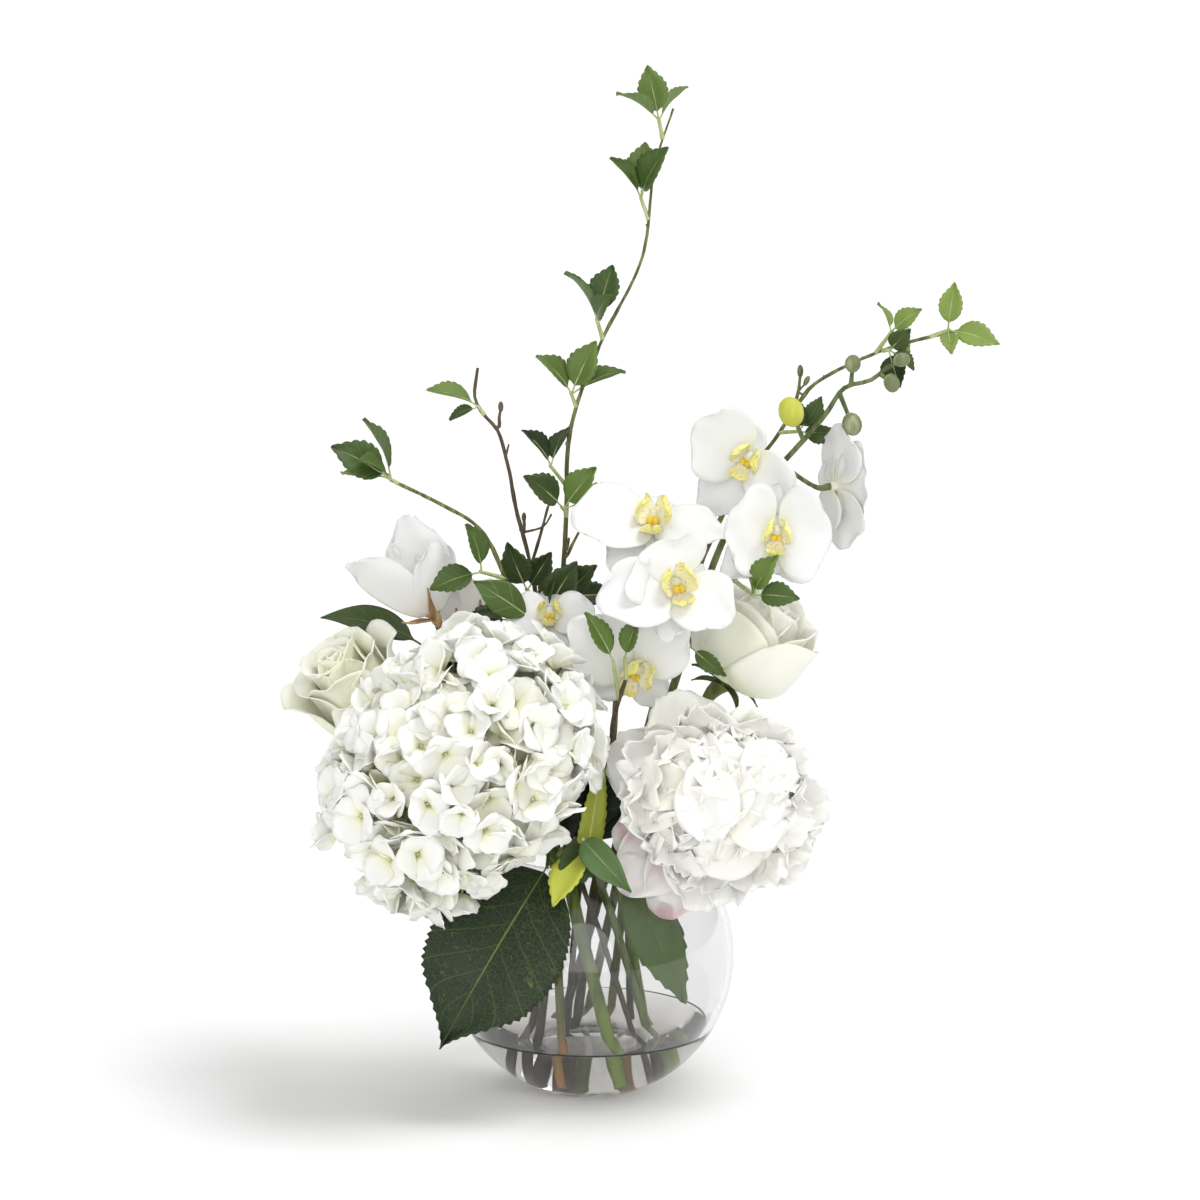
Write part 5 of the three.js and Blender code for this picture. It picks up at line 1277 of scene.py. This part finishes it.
# A petal: its angle anticlockwise from the bloom's own top, its tilt, length and width.
orchids = {
    "orchid_top": {
        "centre": (98, -6, 396), "facing": (-0.3, -0.95, 0.05), "roll": -28, "size": 0.8,
        "petals": [(88, [52, 78, 90], 50, 64), (-102, [48, 72, 84], 62, 44), (167, [84, 90, 94], 60, 40),
                   (30, [110, 118, 120], 26, 24), (-150, [100, 108, 110], 24, 22)],
    },
    "orchid_right": {
        "centre": (112, -36, 354), "facing": (0.1, -0.98, 0.12), "roll": -6, "size": 0.78,
        "petals": [(86, [52, 80, 92], 42, 74), (-86, [52, 80, 92], 44, 78), (0, [96, 100, 104], 38, 30),
                   (134, [84, 90, 96], 52, 34), (-150, [92, 96, 100], 40, 30)],
    },
    "orchid_left": {
        "centre": (38, -24, 359), "facing": (0.05, -0.74, 0.67), "roll": -8, "size": 1,
        "petals": [(104, [56, 80, 90], 52, 50), (-98, [66, 84, 90], 46, 34), (0, [100, 110, 116], 30, 26),
                   (146, [90, 96, 100], 40, 30), (-142, [90, 98, 104], 34, 28)],
    },
    "orchid_middle": {
        "centre": (52, -60, 324), "facing": (0.1, -0.84, 0.5), "roll": 14, "size": 0.96,
        "petals": [(24, [56, 74, 76], 31, 66), (90, [60, 84, 94], 54, 48), (-144, [56, 80, 92], 42, 46),
                   (-60, [100, 106, 108], 26, 24), (150, [92, 96, 98], 34, 26)],
    },
    "orchid_side": {
        "centre": (150, 2, 378), "facing": (0.86, 0.47, 0.05), "roll": 2, "size": 0.82,
        "petals": [(0, [72, 88, 92], 46, 56), (174, [72, 88, 92], 48, 54), (90, [60, 80, 88], 34, 72),
                   (-90, [66, 84, 90], 28, 50), (-160, [84, 92, 94], 40, 34)],
    },
    "orchid_low": {
        "centre": (27, -36, 270), "facing": (0.2, -0.95, -0.1), "roll": -30, "size": 0.86,
        "petals": [(80, [66, 84, 92], 64, 54), (-14, [60, 80, 90], 50, 46), (150, [92, 98, 100], 38, 28),
                   (-110, [92, 98, 102], 38, 28), (36, [100, 108, 112], 38, 30)],
    },
    "orchid_hidden": {
        "centre": (-24, -10, 297), "facing": (-0.1, -0.68, 0.72), "roll": 5, "size": 0.62,
        "petals": [(88, [58, 82, 94], 45, 53), (-88, [58, 82, 94], 45, 53), (0, [84, 90, 98], 43, 30),
                   (142, [84, 90, 98], 43, 30), (-142, [84, 90, 98], 43, 30)],
    },
}
orchidForm = {
    "petal": {"arc": 0.012, "rise": 0.84, "blunt": 0.48, "open": 0.9, "round": 0.26, "crumple": 5,
              "ruffle": 1.2, "waves": 1, "columns": 14, "rows": 14},
    "wide": 38, "wideHeight": 3.5, "narrowHeight": 1, "back": 3, "thick": 0.5, "seed": 40,
    "column": [2.6, 3.2, 2.8, 2.6],
    "lobe": {"length": 24, "width": 22, "tilt": [74, 44, -10, -60], "arc": 0.06, "rise": 0.8, "blunt": 0.5,
             "open": 0.88, "round": 0.25, "crumple": 3, "ruffle": 1, "waves": 1, "columns": 10, "rows": 12},
    "tongue": {"length": 26, "width": 16, "tilt": [84, 70, 20, -30], "arc": 0.09, "rise": 1.1, "blunt": 0.6,
               "open": 0.92, "crumple": 2, "notch": 0.2, "columns": 10, "rows": 12},
    "lip": [(70, "lobe"), (-70, "lobe"), (180, "tongue")],
}


def orchidAxes(plan):
    axis = Vector(plan["facing"]).normalized()
    up = (Vector((0, 0, 1)) - axis * axis.z).normalized()
    return axis, Matrix.Rotation(math.radians(plan["roll"]), 3, axis) @ up


def buildOrchid(name, seed):
    plan = orchids[name]
    axis, up = orchidAxes(plan)
    draw = random.Random(seed)
    size, centre = plan["size"], Vector(plan["centre"])
    base = centre - axis * orchidForm["back"]
    bm = newPiece()
    for angle, tilt, length, width in plan["petals"]:
        blade = {**orchidForm["petal"], "tilt": tilt, "length": length * size, "width": width * size,
                 "seed": 70 * draw.random(), "phase": 6 * draw.random()}
        height = orchidForm["wideHeight"] if width > orchidForm["wide"] else orchidForm["narrowHeight"]
        matrix = bloomFrame(base, axis, math.radians(angle), height, 1, up)
        addBlade(bm, blade, matrix, draw.random())
    column = [base, base + axis * 4, centre + axis * 4 + up, centre + axis * 8 + up * 3]
    addTube(bm, column, orchidForm["column"], 0, 10)
    piece, thick = name.replace("_", "") + "Petals", orchidForm["thick"]
    finishPiece(piece, bm, ["orchidPetal"], name + "_bloom", thick)
    buildOrchidLip(name, centre + axis * 2.3, axis, up, size, draw)


def buildOrchidLip(name, base, axis, up, size, draw):
    # Two raised side lobes and a tongue with a forked tip, round a yellow crest.
    bm, crestBm = newPiece(), newPiece()
    for angle, part in orchidForm["lip"]:
        shape = orchidForm[part]
        blade = {**shape, "length": shape["length"] * size, "width": shape["width"] * size,
                 "seed": 70 * draw.random(), "phase": 6 * draw.random()}
        addBlade(bm, blade, bloomFrame(base, axis, math.radians(angle), 0.6, 1, up), draw.random())
    for side in (-1, 1):
        across = axis.cross(up) * side
        knob = base + axis * 5 * size - up * 3 * size + across * 1.6
        addBud(crestBm, knob, axis - up * 0.3, 3.6 * size, 2.4 * size)
    addBud(crestBm, base + axis * 2 - up * 1, axis, 3, 3 * size)
    piece, node, slot = name.replace("_", "") + "Lip", name + "_lip", "orchid_lip"
    finishPiece(piece, bm, ["orchidLipPetal"], node, orchidForm["thick"])
    finishPiece(piece + "Crest", crestBm, ["orchidLipHeart"], node)


# A hold: where it leaves the stem, and its bloom. A bud: its middle, axis and size, and where its own
# stalk leaves the stem. The first bud is the one that opens.
sprays = {
    "orchidRight": {
        "node": "orchid_right_stem", "radius": 3,
        "holds": [((92, 16, 368), "orchid_top"), ((84, 17, 348), "orchid_right"),
                  ((110, 14, 397), "orchid_side")],
        "buds": [((123, -2, 424), (-0.3, -0.2, 0.95), 9.6, (124, 13, 412)),
                 ((160, -6, 417), (0.2, -0.5, -0.8), 7.4, (146, 8, 441)),
                 ((160, -6, 454), (0, -0.6, 0.8), 6, (156, 7, 449)),
                 ((184, -4, 442), (0.3, -0.3, -0.9), 6, (172, 5, 453)),
                 ((190, -2, 456), (0.9, -0.3, 0.2), 5.4, (179, 4, 455))],
    },
    "orchidLeft": {
        "node": "orchid_left_stem", "radius": 2.6,
        "holds": [((28, -5, 318), "orchid_left"), ((26, -6, 308), "orchid_middle"),
                  ((17, -12, 252), "orchid_low"), ((18, -10, 270), "orchid_hidden")],
        "buds": [],
    },
}
sprayForm = {"hold": [1.8, 1.5, 1.5, 2.4], "budStalk": [1.6, 1.3, 1.2], "tip": 1.3, "budWidth": 0.83}


def buildSpray(name):
    plan = sprays[name]
    node, radius, buds = plan["node"], plan["radius"], plan["buds"]
    line = stemLine(name)
    bm = newPiece()
    addTube(bm, line, [radius, radius * 0.9, sprayForm["tip"]], 0.15, 12)
    for start, bloom in plan["holds"]:
        axis, up = orchidAxes(orchids[bloom])
        seat = Vector(orchids[bloom]["centre"]) - axis * (orchidForm["back"] + 0.3)
        foot = nearestOn(line, start)
        addTube(bm, smoothRoute([foot, seat - axis * 8, seat], 3), sprayForm["hold"], 0.05, 8)
    for budName, skin, group in (("OpenBud", "limeBudSkin", buds[:1]), ("Buds", "budSkin", buds[1:])):
        if group:
            budBm = newPiece()
            for centre, axis, size, start in group:
                foot = nearestOn(line, start)
                stalk = smoothRoute([foot, foot.lerp(Vector(centre), 0.5), centre], 2)
                addTube(bm, stalk, sprayForm["budStalk"], 0.05, 8)
                addBud(budBm, centre, axis, size, size * sprayForm["budWidth"])
            finishPiece(name + budName, budBm, [skin], node)
    finishPiece(name + "Stem", bm, ["orchidStem"], node)


buildCamera()
buildStudio()
buildBowl()
buildWater()
buildHydrangeaHead()
buildHydrangeaStem()
buildPeonyBloom()
buildPeonyStem()
for rose in roses:
    buildRose(rose)
buildMagnolias()
for number, orchid in enumerate(orchids):
    buildOrchid(orchid, orchidForm["seed"] + number)
for spray in sprays:
    buildSpray(spray)
print("orchids built")
buildBranches()

bpy.context.view_layer.update()
